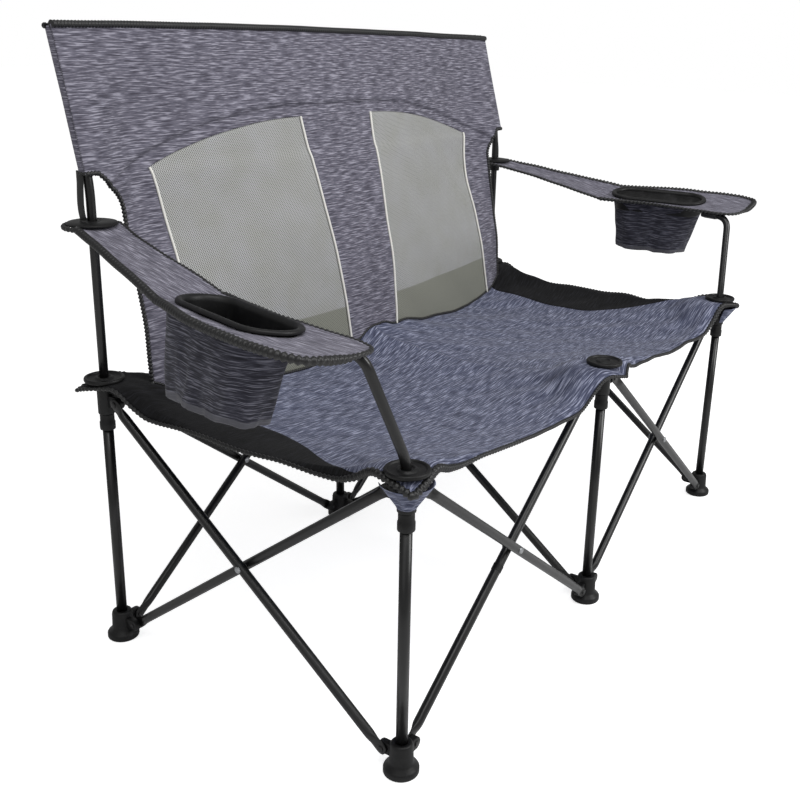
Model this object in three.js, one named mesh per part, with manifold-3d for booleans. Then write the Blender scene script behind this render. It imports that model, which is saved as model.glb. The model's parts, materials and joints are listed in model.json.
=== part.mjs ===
// Folding camping loveseat: six telescoping legs round two square cells, with a scissor pair of braces in
// every face of the cells, a sling seat, a reclined back with two mesh windows, and two arms with cup holders.
// Millimetres, +Z up, standing open on the floor. The sitter faces -Y.
import * as THREE from 'three';
import { mergeVertices } from 'three/addons/utils/BufferGeometryUtils.js';
import Module from 'manifold-3d';

const wasm = await Module();
wasm.setup();

// Plan of the frame
const CELL = 585; // leg axis to leg axis, across and front to back

// Running clearance between pieces that slide, turn or rest on each other
const RUN_GAP = 0.3;

// Scissor pins
const PIN_REACH = 30; // pin axis to leg axis
const FOOT_PIN_Z = 30;
const HUB_PIN_Z = 428;
const PIN_RADIUS = 3;
const PIN_HEAD_RADIUS = 5.5;
const PIN_HEAD = 1.8;

// Steel tubes
const LEG_RADIUS = 8.5;
const LEG_WALL = 1.2;
const POST_WALL = 1.2;
const POST_BOTTOM_Z = 110; // lower end of the inner tube, inside its leg
const BRACE_RADIUS = 7.5;
const BRACE_WALL = 1.1;
const BRACE_GAP = 1; // between the two tubes of a scissor pair
const TAB_THICKNESS = 5; // flattened end of a brace
const TAB_SEAT = 12; // flattened plate inside the round tube

// Feet
const PAD_RADIUS = 21;
const PAD_HEIGHT = 9;
const FOOT_RADIUS = 14.5;
const FOOT_TOP_Z = 50;
const SOCKET_FLOOR_Z = 12;

// Lugs that carry the pins on feet and hubs
const LUG_RADIUS = 9.5;

// Collars on the leg tops, and the hubs that rest on them
const COLLAR_BOTTOM_Z = 379;
const COLLAR_TOP_Z = 405;
const COLLAR_WALL = 2.6;
const COLLAR_LIP = 4;
const HUB_RADIUS = 13;
const FLANGE_Z = 460; // underside of the round flange over the seat fabric
const FLANGE_RADIUS = 31;
const FLANGE_THICKNESS = 7;
const FLANGE_EDGE = 3.5;
const FLANGE_SLOPE = 12;
const DIMPLE_RADIUS = 9;
const DIMPLE_DEPTH = 2;

// Back posts, straight to the bend and then leaning back inside their sleeves
const BEND_Z = 770;
const BACK_TOP_Z = 985;
const BACK_LEAN_DEG = 15;
const POST_TOP_INSET = 10; // post end below the top hem

// Front arm tubes
const ARM_TUBE_OUT = 64; // sideways lean at the top
const ARM_TUBE_BACK = 22; // backward lean at the top
const ARM_TUBE_BEND = 30; // height of the bend under the arm
const ARM_TUBE_RUN = 36; // end that lies under the arm
const ARM_TUBE_FOOT = 4; // straight length above the hub

// Arm fabric, its front half tilted in one plane; edges are given as inner and outer, outside the leg axis
const ARM_THICKNESS = 4;
const ARM_FRONT_Z = 630; // top of the tilted plane at the front leg axis
const ARM_TILT_OUT = 0.13; // rise of the plane per millimetre outwards
const ARM_TILT_BACK = 0.05; // and backwards
const ARM_REAR_WIDTH = 84;
const ARM_SHOULDER = 92; // in front of the back leg axis
const ARM_SHOULDER_EDGES = [-18, 70];
const ARM_CREASE_Y = 15; // where front and rear halves meet, from the middle of the cell
const ARM_CREASE_EDGES = [8, 132];
const ARM_CUP_EDGES = [36, 170]; // beside the middle of the cup ring
const ARM_WIDE = 50; // widest place behind the tip
const ARM_WIDE_EDGES = [48, 206];
const ARM_CORNER = 16; // front corners behind the tip
const ARM_CORNER_EDGES = [60, 200];
const ARM_TIP_FRONT = 8; // tip in front of the front leg axis
const ARM_TIP_EDGES = [92, 178];

// Plastic discs that hold the arms to the back posts
const DISC_Z = 706;
const DISC_RADIUS = 38;
const DISC_THICKNESS = 6;
const DISC_NECK_RADIUS = 12.5;
const DISC_NECK = 22;
const DISC_TUCK = 15; // arm fabric tucked under the disc edge

// Cup holders
const CUP_Y = -94; // middle of the cup ring, from the middle of the cell
const CUP_INSET = 12; // ring inside the middle of the arm
const CUP_LENGTH = 214;
const CUP_WIDTH = 94;
const CUP_RIM = 9; // flat width of the rim over the fabric
const CUP_WALL = 2.5;
const CUP_RIM_THICKNESS = 5;
const CUP_SKIRT = 26; // ring wall below the fabric
const POUCH_WALL = 2.5;
const POUCH_DEPTH = 114;
const POUCH_BOTTOM_LENGTH = 178;
const POUCH_BOTTOM_WIDTH = 84;
const POUCH_SAG = 8;

// Seat sling
const SEAT_THICKNESS = 4;
const FRONT_SAG = 52; // along the front and back edges, midway between flanges
const SIDE_SAG = 34; // along the sides and the middle line
const MIDDLE_SAG = 14; // deeper still in the middle of a cell
const SEAT_CORNER_OUT = 36; // fabric beyond the leg axis at a flange
const SEAT_EDGE_OUT = 8; // and midway between two flanges
const SEAT_FLAT = 34; // flat fabric round each flange axis
const SEAT_BLEND = 120; // distance over which it falls to the full sag

// Back panel and its mesh windows
const BACK_THICKNESS = 4;
const BACK_BOTTOM_FRONT = 62; // bottom edge in front of the back posts
const SLEEVE_Z = 782; // lower edge of the post sleeves
const SLEEVE_CUT = 46; // height of the rounded cut below them
const SLEEVE_OUT = 15; // fabric outside the post axis
const BACK_SIDE_INSET = 52; // panel edge inside the post axis, below the cut
const WINDOW_TOP_OUTER = [460, 779];
const WINDOW_TOP_INNER = [104, 841];
const WINDOW_ARCH = [300, 838];
const WINDOW_SIDE = [424, 600];
const WINDOW_BOTTOM_OUTER = 474;
const WINDOW_BOTTOM_INNER = 72;

// Facets of the round pieces
const TUBE_SIDES = 10;
const BRACE_SIDES = 8;
const PIN_SIDES = 6;
const ROUND_END = 2; // curve steps in each quarter of a lug or tab end
const HUB_SIDES = 12;
const OVAL_SIDES = 20;
const SEAT_COLUMNS = 6;
const SEAT_ROWS = 12;
const BACK_COLUMNS = 18;

// Sizes that follow from the ones above
const HALF = CELL / 2;
const POST_RADIUS = LEG_RADIUS - LEG_WALL - RUN_GAP;
const BRACE_OFFSET = BRACE_RADIUS + BRACE_GAP / 2;
const LUG_HALF = BRACE_OFFSET - TAB_THICKNESS / 2 - RUN_GAP;
const TAB_HALF = Math.sqrt(BRACE_RADIUS ** 2 - (TAB_THICKNESS / 2) ** 2) - RUN_GAP;
const TAB_LENGTH = LUG_RADIUS + 4; // pin axis to the round part of a brace
const SPAN = CELL - 2 * PIN_REACH;
const RISE = HUB_PIN_Z - FOOT_PIN_Z;
const BRACE_LENGTH = Math.hypot(SPAN, RISE);
const BRACE_ANGLE = Math.atan2(RISE, SPAN);
const HUB_BOTTOM_Z = COLLAR_TOP_Z + RUN_GAP;
const BORE_RADIUS = POST_RADIUS + RUN_GAP;
const BACK_LEAN = Math.tan(THREE.MathUtils.degToRad(BACK_LEAN_DEG));
const LEANING_RADIUS = POST_RADIUS / Math.cos(THREE.MathUtils.degToRad(BACK_LEAN_DEG)); // of a level cut
const PIN_HOLE_RADIUS = (PIN_RADIUS + RUN_GAP) / Math.cos(Math.PI / PIN_SIDES); // flats clear the turning pin

// Finishes
const blackSteel = { color: 0x1d1d1f, roughness: 0.38, metalness: 0.55 };
const blackPlastic = { color: 0x161617, roughness: 0.6, metalness: 0 };
const seatFabric = { color: 0x666c84, roughness: 0.95, metalness: 0 };
const backFabric = { color: 0x6d6a7b, roughness: 0.95, metalness: 0 };
const pouchFabric = { color: 0x4c4d5c, roughness: 0.95, metalness: 0 };
const windowMesh = { color: 0x9c9d95, roughness: 0.9, metalness: 0 };

// Triangles turned over together where they enclose a negative volume
function facingOut(points, triangles) {
  const corner = (i) => new THREE.Vector3().fromArray(points, 3 * i);
  const outward = new Uint32Array(triangles);
  let volume = 0;
  for (let t = 0; t < outward.length; t += 3) {
    volume += corner(outward[t]).dot(corner(outward[t + 1]).cross(corner(outward[t + 2])));
  }
  return volume < 0 ? outward.reverse() : outward;
}

// Solids: a closed surface made into a solid that can be cut and joined, and back again
function solid(geometry) {
  const bare = geometry.clone();
  bare.deleteAttribute('normal');
  bare.deleteAttribute('uv');
  const merged = mergeVertices(bare, 1e-4);
  const vertProperties = new Float32Array(merged.attributes.position.array);
  const triVerts = facingOut(vertProperties, merged.index.array);
  return new wasm.Manifold(new wasm.Mesh({ numProp: 3, vertProperties, triVerts }));
}

function surface(body) {
  const mesh = body.getMesh();
  const geometry = new THREE.BufferGeometry();
  const positions = new Float32Array(mesh.numVert * 3);
  for (let i = 0; i < mesh.numVert; i++) {
    for (let k = 0; k < 3; k++) {
      positions[3 * i + k] = mesh.vertProperties[mesh.numProp * i + k];
    }
  }
  geometry.setAttribute('position', new THREE.BufferAttribute(positions, 3));
  geometry.setIndex(new THREE.BufferAttribute(new Uint32Array(mesh.triVerts), 1));
  return geometry;
}

// A turned piece about the Z axis, from a closed outline of radius and height, counter-clockwise
function turned(outline, sides) {
  const points = outline.map(([r, z]) => new THREE.Vector2(r, z));
  if (outline[0][0] > 0) {
    points.push(points[0].clone());
  }
  const geometry = new THREE.LatheGeometry(points, sides);
  geometry.rotateX(Math.PI / 2);
  return geometry;
}

function turnedSolid(outline, sides) {
  return solid(turned(outline, sides));
}

function pipeOutline(outer, inner, z0, z1) {
  return [[inner, z0], [outer, z0], [outer, z1], [inner, z1]];
}

function rodOutline(radius, z0, z1) {
  return [[0, z0], [radius, z0], [radius, z1], [0, z1]];
}

// A tube through listed points, one cross-section at each of them
class TubeRoute extends THREE.Curve {
  constructor(points) {
    super();
    this.points = points;
  }

  getPoint(t, target = new THREE.Vector3()) {
    const last = this.points.length - 1;
    const step = Math.min(Math.floor(t * last + 1e-9), last - 1);
    return target.lerpVectors(this.points[step], this.points[step + 1], t * last - step);
  }

  getPointAt(u, target) {
    return this.getPoint(u, target);
  }

  getTangentAt(u, target = new THREE.Vector3()) {
    const last = this.points.length - 1;
    const here = Math.round(u * last);
    const before = this.points[Math.max(here - 1, 0)];
    const mid = this.points[here];
    const after = this.points[Math.min(here + 1, last)];
    const a = mid.clone().sub(before).normalize();
    const b = after.clone().sub(mid).normalize();
    return target.copy(a).add(b).normalize();
  }
}

function routedPipe(points, outer, inner) {
  const section = new THREE.Shape().absarc(0, 0, outer, 0, 2 * Math.PI, false);
  section.holes.push(new THREE.Path().absarc(0, 0, inner, 0, 2 * Math.PI, true));
  const route = new TubeRoute(points);
  return new THREE.ExtrudeGeometry(section, {
    steps: points.length - 1,
    curveSegments: TUBE_SIDES / 2,
    extrudePath: route,
  });
}

// A closed solid through rings of points, with both ends capped
function lofted(rings) {
  const count = rings[0].length;
  const positions = [];
  const index = [];
  for (const ring of rings) {
    for (const p of ring) {
      positions.push(p.x, p.y, p.z);
    }
  }
  for (let r = 0; r + 1 < rings.length; r++) {
    for (let i = 0; i < count; i++) {
      const j = (i + 1) % count;
      const a = r * count;
      const b = a + count;
      index.push(a + i, a + j, b + j, a + i, b + j, b + i);
    }
  }
  for (const [r, start] of [[0, true], [rings.length - 1, false]]) {
    const middle = positions.length / 3;
    const centre = rings[r].reduce((sum, p) => sum.add(p), new THREE.Vector3()).divideScalar(count);
    positions.push(centre.x, centre.y, centre.z);
    for (let i = 0; i < count; i++) {
      const j = (i + 1) % count;
      const [p, q] = start ? [j, i] : [i, j];
      index.push(middle, r * count + p, r * count + q);
    }
  }
  const geometry = new THREE.BufferGeometry();
  geometry.setAttribute('position', new THREE.Float32BufferAttribute(positions, 3));
  geometry.setIndex(index);
  return geometry;
}

// A sheet of fabric with an even thickness along one direction: point(u, v) gives its face, columns along u
function sheet(point, columns, rows, through) {
  const rings = [];
  for (let c = 0; c <= columns; c++) {
    const front = [];
    const back = [];
    for (let r = 0; r <= rows; r++) {
      const p = point(c / columns, r / rows);
      front.push(p);
      back.unshift(p.clone().add(through));
    }
    rings.push([...front, ...back]);
  }
  return capStrips(lofted(rings), rings, rows);
}

// The ends of a sheet are long thin strips, so they are closed row by row and not from their middle
function capStrips(geometry, rings, rows) {
  const count = rings[0].length;
  const caps = 2 * count * 3;
  const index = Array.from(geometry.index.array).slice(0, -caps);
  for (const [r, start] of [[0, true], [rings.length - 1, false]]) {
    for (let i = 0; i < rows; i++) {
      const a = r * count + i;
      const b = a + 1;
      const d = r * count + count - 1 - i;
      const c = d - 1;
      index.push(...(start ? [a, c, b, a, d, c] : [a, b, c, a, c, d]));
    }
  }
  const positions = Array.from(geometry.attributes.position.array).slice(0, rings.length * count * 3);
  const closed = new THREE.BufferGeometry();
  closed.setAttribute('position', new THREE.Float32BufferAttribute(positions, 3));
  closed.setIndex(index);
  return closed;
}

// Ovals with straight sides and round ends, long along Y
function ovalPoints(length, width) {
  const r = width / 2;
  const straight = (length - width) / 2;
  const points = [];
  for (let i = 0; i < OVAL_SIDES; i++) {
    const angle = (2 * Math.PI * (i + 0.5)) / OVAL_SIDES;
    const y = r * Math.sin(angle) + Math.sign(Math.sin(angle)) * straight;
    points.push(new THREE.Vector2(r * Math.cos(angle), y));
  }
  return points;
}

function ovalSolid(length, width, z0, z1) {
  const shape = new THREE.Shape(ovalPoints(length, width));
  const geometry = new THREE.ExtrudeGeometry(shape, { depth: z1 - z0, bevelEnabled: false });
  geometry.translate(0, 0, z0);
  return solid(geometry);
}

function ovalRing(length, width, z) {
  return ovalPoints(length, width).map((p) => new THREE.Vector3(p.x, p.y, z));
}

// Model and its pieces
const model = new THREE.Group();

function piece(name, geometry, finish, parent = model) {
  const mesh = new THREE.Mesh(geometry, new THREE.MeshStandardMaterial(finish));
  mesh.name = name;
  parent.add(mesh);
  return mesh;
}

function placed(x, y, z = 0) {
  const group = new THREE.Group();
  group.position.set(x, y, z);
  model.add(group);
  return group;
}

// Legs by name, and the faces between them, each from leg a to leg b with the brace that lies outside
const legs = {
  front_left: [-CELL, -HALF],
  front_middle: [0, -HALF],
  front_right: [CELL, -HALF],
  back_left: [-CELL, HALF],
  back_middle: [0, HALF],
  back_right: [CELL, HALF],
};
const faces = [
  { name: 'back_left', a: 'back_middle', b: 'back_left', out: [0, 1], first: 'outer' },
  { name: 'back_right', a: 'back_middle', b: 'back_right', out: [0, 1], first: 'inner' },
  { name: 'middle', a: 'back_middle', b: 'front_middle', out: [-1, 0], first: 'inner' },
  { name: 'side_left', a: 'back_left', b: 'front_left', out: [-1, 0], first: 'inner' },
  { name: 'side_right', a: 'back_right', b: 'front_right', out: [1, 0], first: 'inner' },
  { name: 'front_left', a: 'front_middle', b: 'front_left', out: [0, -1], first: 'outer' },
  { name: 'front_right', a: 'front_middle', b: 'front_right', out: [0, -1], first: 'inner' },
];
const up = new THREE.Vector3(0, 0, 1);

function directionOf(face) {
  const [ax, ay] = legs[face.a];
  const [bx, by] = legs[face.b];
  return new THREE.Vector3(bx - ax, by - ay, 0).normalize();
}

// Axes of a face: along it, up, and across it
function faceBasis(along) {
  return new THREE.Matrix4().makeBasis(along, up, along.clone().cross(up));
}

function lugDirections(leg) {
  const found = [];
  for (const face of faces) {
    if (face.a === leg) {
      found.push(directionOf(face));
    }
    if (face.b === leg) {
      found.push(directionOf(face).negate());
    }
  }
  return found;
}

// Lugs: flat plates with a round end and a hole for the pin
function lugSolid(along, pinZ) {
  const shape = new THREE.Shape();
  shape.moveTo(0, -LUG_RADIUS);
  shape.lineTo(PIN_REACH, -LUG_RADIUS);
  shape.absarc(PIN_REACH, 0, LUG_RADIUS, -Math.PI / 2, Math.PI / 2, false);
  shape.lineTo(0, LUG_RADIUS);
  shape.closePath();
  const geometry = new THREE.ExtrudeGeometry(shape, {
    depth: 2 * LUG_HALF,
    curveSegments: ROUND_END,
    bevelEnabled: false,
  });
  geometry.translate(0, 0, -LUG_HALF);
  const hole = turned(rodOutline(PIN_HOLE_RADIUS, -2 * LUG_HALF, 2 * LUG_HALF), PIN_SIDES);
  hole.translate(PIN_REACH, 0, 0);
  for (const part of [geometry, hole]) {
    part.applyMatrix4(faceBasis(along));
    part.translate(0, 0, pinZ);
  }
  return solid(geometry).subtract(solid(hole));
}

// Feet with a flat pad on the floor, a socket for the leg and a lug for each face
function footGeometry(leg) {
  let body = turnedSolid([
    [0, 0],
    [PAD_RADIUS, 0],
    [PAD_RADIUS, PAD_HEIGHT],
    [FOOT_RADIUS, PAD_HEIGHT + PAD_RADIUS - FOOT_RADIUS],
    [FOOT_RADIUS, FOOT_TOP_Z],
    [0, FOOT_TOP_Z],
  ], HUB_SIDES);
  for (const along of lugDirections(leg)) {
    body = body.add(lugSolid(along, FOOT_PIN_Z));
  }
  const socket = rodOutline(LEG_RADIUS + RUN_GAP, SOCKET_FLOOR_Z, FOOT_TOP_Z + 1);
  return surface(body.subtract(turnedSolid(socket, TUBE_SIDES)));
}

// Hubs with a bore or a stub tube, a lug for each face and a round flange over the fabric
function hubBody(leg) {
  const top = FLANGE_Z + FLANGE_THICKNESS;
  let body = turnedSolid([
    [0, HUB_BOTTOM_Z],
    [HUB_RADIUS, HUB_BOTTOM_Z],
    [HUB_RADIUS, FLANGE_Z],
    [FLANGE_RADIUS, FLANGE_Z],
    [FLANGE_RADIUS, FLANGE_Z + FLANGE_EDGE],
    [FLANGE_RADIUS - FLANGE_SLOPE, top],
    [0, top],
  ], HUB_SIDES);
  for (const along of lugDirections(leg)) {
    body = body.add(lugSolid(along, HUB_PIN_Z));
  }
  return body;
}

function boredHub(leg) {
  const bore = rodOutline(BORE_RADIUS, HUB_BOTTOM_Z - 1, FLANGE_Z + FLANGE_THICKNESS + 1);
  return surface(hubBody(leg).subtract(turnedSolid(bore, TUBE_SIDES)));
}

function stubHub(leg) {
  const top = FLANGE_Z + FLANGE_THICKNESS;
  const stub = pipeOutline(POST_RADIUS, POST_RADIUS - POST_WALL, POST_BOTTOM_Z, HUB_BOTTOM_Z + HUB_RADIUS);
  const hollow = rodOutline(POST_RADIUS - POST_WALL, HUB_BOTTOM_Z - 1, HUB_BOTTOM_Z + HUB_RADIUS);
  const dimple = rodOutline(DIMPLE_RADIUS, top - DIMPLE_DEPTH, top + 1);
  const body = hubBody(leg).subtract(turnedSolid(hollow, TUBE_SIDES));
  return surface(body.add(turnedSolid(stub, TUBE_SIDES)).subtract(turnedSolid(dimple, TUBE_SIDES)));
}

// Collars grip the leg top and guide the inner tube through a lip
const legTopZ = COLLAR_TOP_Z - COLLAR_LIP - RUN_GAP;
const collarOutline = [
  [LEG_RADIUS + RUN_GAP, COLLAR_BOTTOM_Z],
  [LEG_RADIUS + RUN_GAP + COLLAR_WALL, COLLAR_BOTTOM_Z],
  [LEG_RADIUS + RUN_GAP + COLLAR_WALL, COLLAR_TOP_Z],
  [BORE_RADIUS, COLLAR_TOP_Z],
  [BORE_RADIUS, COLLAR_TOP_Z - COLLAR_LIP],
  [LEG_RADIUS + RUN_GAP, COLLAR_TOP_Z - COLLAR_LIP],
];
const legOutline = pipeOutline(LEG_RADIUS, LEG_RADIUS - LEG_WALL, SOCKET_FLOOR_Z + RUN_GAP, legTopZ);

for (const [leg, [x, y]] of Object.entries(legs)) {
  const group = placed(x, y);
  piece(`foot_${leg}`, footGeometry(leg), blackPlastic, group);
  piece(`leg_${leg}`, surface(turnedSolid(legOutline, TUBE_SIDES)), blackSteel, group);
  piece(`collar_${leg}`, surface(turnedSolid(collarOutline, TUBE_SIDES)), blackPlastic, group);
  const hub = leg === 'front_middle' ? stubHub(leg) : boredHub(leg);
  piece(`hub_${leg}`, hub, blackPlastic, group);
}

// Back posts lean back above the bend
function postBackset(z) {
  return Math.max(z - BEND_Z, 0) * BACK_LEAN;
}

const postTopZ = BACK_TOP_Z - POST_TOP_INSET;
const postInner = POST_RADIUS - POST_WALL;
for (const side of ['left', 'middle', 'right']) {
  const [x, y] = legs[`back_${side}`];
  const route = [POST_BOTTOM_Z, BEND_Z, postTopZ].map((z) => new THREE.Vector3(0, postBackset(z), z));
  const post = surface(solid(routedPipe(route, POST_RADIUS, postInner)));
  piece(`back_post_${side}`, post, blackSteel, placed(x, y));
}

// Plane of the arm's front half, at a distance outside the leg axis and behind the front leg axis
const armSteep = Math.hypot(1, ARM_TILT_OUT, ARM_TILT_BACK); // height of a unit of thickness

function armPlane(out, back) {
  return ARM_FRONT_Z + ARM_TILT_OUT * out + ARM_TILT_BACK * back;
}

function armTubeZ(back) {
  return armPlane(ARM_TUBE_OUT, back) - ARM_THICKNESS - (RUN_GAP + POST_RADIUS) * armSteep;
}

// Arm tubes rise through the front hubs, lean out and back, and run along under the arms
for (const [side, sign] of [['left', -1], ['right', 1]]) {
  const [x, y] = legs[`front_${side}`];
  const hubTop = FLANGE_Z + FLANGE_THICKNESS + ARM_TUBE_FOOT;
  const runStart = ARM_TUBE_BACK + ARM_TUBE_BEND * 0.7;
  const runEnd = runStart + ARM_TUBE_RUN;
  const bendZ = armTubeZ(runStart) - ARM_TUBE_BEND;
  const at = (out, back, z) => new THREE.Vector3(sign * out, back, z);
  const route = [
    at(0, 0, POST_BOTTOM_Z),
    at(0, 0, hubTop),
    at(ARM_TUBE_OUT * 0.97, ARM_TUBE_BACK * 0.97, bendZ),
    at(ARM_TUBE_OUT, ARM_TUBE_BACK + ARM_TUBE_BEND * 0.22, bendZ + ARM_TUBE_BEND * 0.7),
    at(ARM_TUBE_OUT, runStart, armTubeZ(runStart)),
    at(ARM_TUBE_OUT, runEnd, armTubeZ(runEnd)),
  ];
  const post = surface(solid(routedPipe(route, POST_RADIUS, postInner)));
  piece(`arm_tube_${side}`, post, blackSteel, placed(x, y));
}

// Braces: a round tube with flattened ends, a pin in each end, and a rivet through the pair where they cross
function pinSolid(x, from, to, headFrom, headTo) {
  const pin = turnedSolid(rodOutline(PIN_RADIUS, Math.min(from, to), Math.max(from, to)), PIN_SIDES);
  const head = rodOutline(PIN_HEAD_RADIUS, Math.min(headFrom, headTo), Math.max(headFrom, headTo));
  return pin.add(turnedSolid(head, PIN_SIDES)).translate([x, 0, 0]);
}

function tabSolid() {
  const shape = new THREE.Shape();
  shape.moveTo(TAB_LENGTH + TAB_SEAT, -TAB_HALF);
  shape.lineTo(TAB_LENGTH + TAB_SEAT, TAB_HALF);
  shape.lineTo(0, TAB_HALF);
  shape.absarc(0, 0, TAB_HALF, Math.PI / 2, (3 * Math.PI) / 2, false);
  shape.closePath();
  const geometry = new THREE.ExtrudeGeometry(shape, {
    depth: TAB_THICKNESS,
    curveSegments: ROUND_END,
    bevelEnabled: false,
  });
  geometry.translate(0, 0, -TAB_THICKNESS / 2);
  return solid(geometry);
}

function braceTube(radius, x0, x1) {
  const rod = turned(rodOutline(radius, x0, x1), BRACE_SIDES);
  rod.rotateY(Math.PI / 2);
  return solid(rod);
}

// toward is +1 or -1: the side of the brace on which its lugs and its partner lie
function braceGeometry(toward, carriesRivet) {
  const tubeStart = TAB_LENGTH;
  const tubeEnd = BRACE_LENGTH - TAB_LENGTH;
  let body = braceTube(BRACE_RADIUS, tubeStart, tubeEnd);
  body = body.subtract(braceTube(BRACE_RADIUS - BRACE_WALL, tubeStart - 1, tubeEnd + 1));
  const tab = tabSolid();
  body = body.add(tab).add(tab.rotate([0, 0, 180]).translate([BRACE_LENGTH, 0, 0]));
  const face = TAB_THICKNESS / 2;
  const pinEnd = face + RUN_GAP + 2 * LUG_HALF;
  for (const x of [0, BRACE_LENGTH]) {
    body = body.add(pinSolid(x, -toward * face, toward * pinEnd, -toward * (face - 0.5), -toward * (face + PIN_HEAD)));
  }
  const middle = BRACE_LENGTH / 2;
  if (carriesRivet) {
    const far = 2 * BRACE_OFFSET + BRACE_RADIUS + RUN_GAP;
    const near = BRACE_RADIUS - BRACE_WALL;
    body = body.add(pinSolid(middle, 0, toward * (far + PIN_HEAD), toward * far, toward * (far + PIN_HEAD)));
    body = body.add(pinSolid(middle, 0, -toward * near, -toward * near, -toward * (BRACE_RADIUS + PIN_HEAD)));
  } else {
    const hole = rodOutline(PIN_HOLE_RADIUS, -2 * BRACE_RADIUS, 2 * BRACE_RADIUS);
    body = body.subtract(turnedSolid(hole, PIN_SIDES).translate([middle, 0, 0]));
  }
  return surface(body);
}

for (const face of faces) {
  const along = directionOf(face);
  const group = placed(...legs[face.a]);
  group.quaternion.setFromRotationMatrix(faceBasis(along));
  const across = along.clone().cross(up);
  const outward = Math.sign(across.x * face.out[0] + across.y * face.out[1]);
  const firstSide = face.first === 'outer' ? outward : -outward;
  const secondName = face.first === 'outer' ? 'inner' : 'outer';
  const first = piece(`brace_${face.name}_${face.first}`, braceGeometry(-firstSide, true), blackSteel, group);
  first.position.set(PIN_REACH, FOOT_PIN_Z, firstSide * BRACE_OFFSET);
  first.rotation.z = BRACE_ANGLE;
  const second = piece(`brace_${face.name}_${secondName}`, braceGeometry(firstSide, false), blackSteel, group);
  second.position.set(CELL - PIN_REACH, FOOT_PIN_Z, -firstSide * BRACE_OFFSET);
  second.rotation.z = Math.PI - BRACE_ANGLE;
}

// Height of the seat's upper face: flat round each flange, sagging between them
function seatTop(x, y) {
  const s = Math.min(Math.abs(x) / CELL, 1);
  const r = Math.min(Math.max((y + HALF) / CELL, 0), 1);
  const a = 4 * s * (1 - s);
  const b = 4 * r * (1 - r);
  const sag = FRONT_SAG * a * (1 - b) + SIDE_SAG * b * (1 - a) + (Math.max(FRONT_SAG, SIDE_SAG) + MIDDLE_SAG) * a * b;
  const near = Math.min(...Object.values(legs).map(([lx, ly]) => Math.hypot(x - lx, y - ly)));
  const t = THREE.MathUtils.smoothstep(near, SEAT_FLAT, SEAT_FLAT + SEAT_BLEND);
  return FLANGE_Z - RUN_GAP - sag * t;
}

function edgeOut(share) {
  const waist = 4 * share * (1 - share);
  return SEAT_EDGE_OUT + (SEAT_CORNER_OUT - SEAT_EDGE_OUT) * (1 - waist) ** 2;
}

// Seat sling in four strips, hinged at the legs and meeting along the middle of each cell
function seatSheet(x0, x1, lift, depth) {
  const point = (u, v) => {
    const nx = THREE.MathUtils.lerp(x0, x1, u);
    const ny = THREE.MathUtils.lerp(-HALF, HALF, v);
    const sideShare = (ny + HALF) / CELL;
    const edge = Math.abs(nx) / CELL;
    const x = nx * (1 + (edge * edge * edgeOut(sideShare)) / CELL);
    const y = ny * (1 + edgeOut(edge) / HALF);
    return new THREE.Vector3(x, y, seatTop(x, y) + lift);
  };
  return solid(sheet(point, SEAT_COLUMNS, SEAT_ROWS, new THREE.Vector3(0, 0, -depth)));
}

function seatStrip(x0, x1) {
  let body = seatSheet(x0, x1, 0, SEAT_THICKNESS);
  for (const [lx, ly] of Object.values(legs)) {
    const neck = rodOutline(HUB_RADIUS + RUN_GAP, COLLAR_TOP_Z, FLANGE_Z + 1);
    body = body.subtract(turnedSolid(neck, HUB_SIDES).translate([lx, ly, 0]));
  }
  return surface(body);
}

const seam = RUN_GAP / 2;
piece('seat_left_outer', seatStrip(-CELL, -HALF - seam), seatFabric);
piece('seat_left_inner', seatStrip(-HALF + seam, -seam), seatFabric);
piece('seat_right_inner', seatStrip(seam, HALF - seam), seatFabric);
piece('seat_right_outer', seatStrip(HALF + seam, CELL), seatFabric);

// Back panel: in front of the posts where the sleeves are, and coming forward to the seat below them
function backY(z) {
  const atPosts = HALF - LEANING_RADIUS - RUN_GAP - BACK_THICKNESS;
  const below = Math.max(SLEEVE_Z - z, 0) / (SLEEVE_Z - FLANGE_Z);
  const forward = (BACK_BOTTOM_FRONT - LEANING_RADIUS) * below * (2 - below) * (1 + below) / 2;
  return atPosts + postBackset(z) - forward;
}

function backHalfWidth(z) {
  const wide = CELL + SLEEVE_OUT;
  const narrow = CELL - BACK_SIDE_INSET;
  return THREE.MathUtils.lerp(narrow, wide, THREE.MathUtils.smoothstep(z, SLEEVE_Z - SLEEVE_CUT, SLEEVE_Z));
}

function backSolid() {
  const low = FLANGE_Z - FRONT_SAG - MIDDLE_SAG;
  const levels = [0, 0.16, 0.34, 0.5, 0.56, 0.585, 0.61, 0.64, 0.72, 0.86, 1];
  const point = (u, v) => {
    const step = Math.min(Math.floor(u * (levels.length - 1) + 1e-9), levels.length - 2);
    const level = THREE.MathUtils.lerp(levels[step], levels[step + 1], u * (levels.length - 1) - step);
    const across = 2 * v - 1;
    const z = THREE.MathUtils.lerp(low, BACK_TOP_Z, level);
    return new THREE.Vector3(across * backHalfWidth(z), backY(z), z);
  };
  let body = solid(sheet(point, levels.length - 1, BACK_COLUMNS, new THREE.Vector3(0, BACK_THICKNESS, 0)));
  for (const x of [-CELL, -HALF, 0, HALF]) {
    body = body.subtract(seatSheet(x, x + HALF, RUN_GAP, CELL));
  }
  return body;
}

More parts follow.
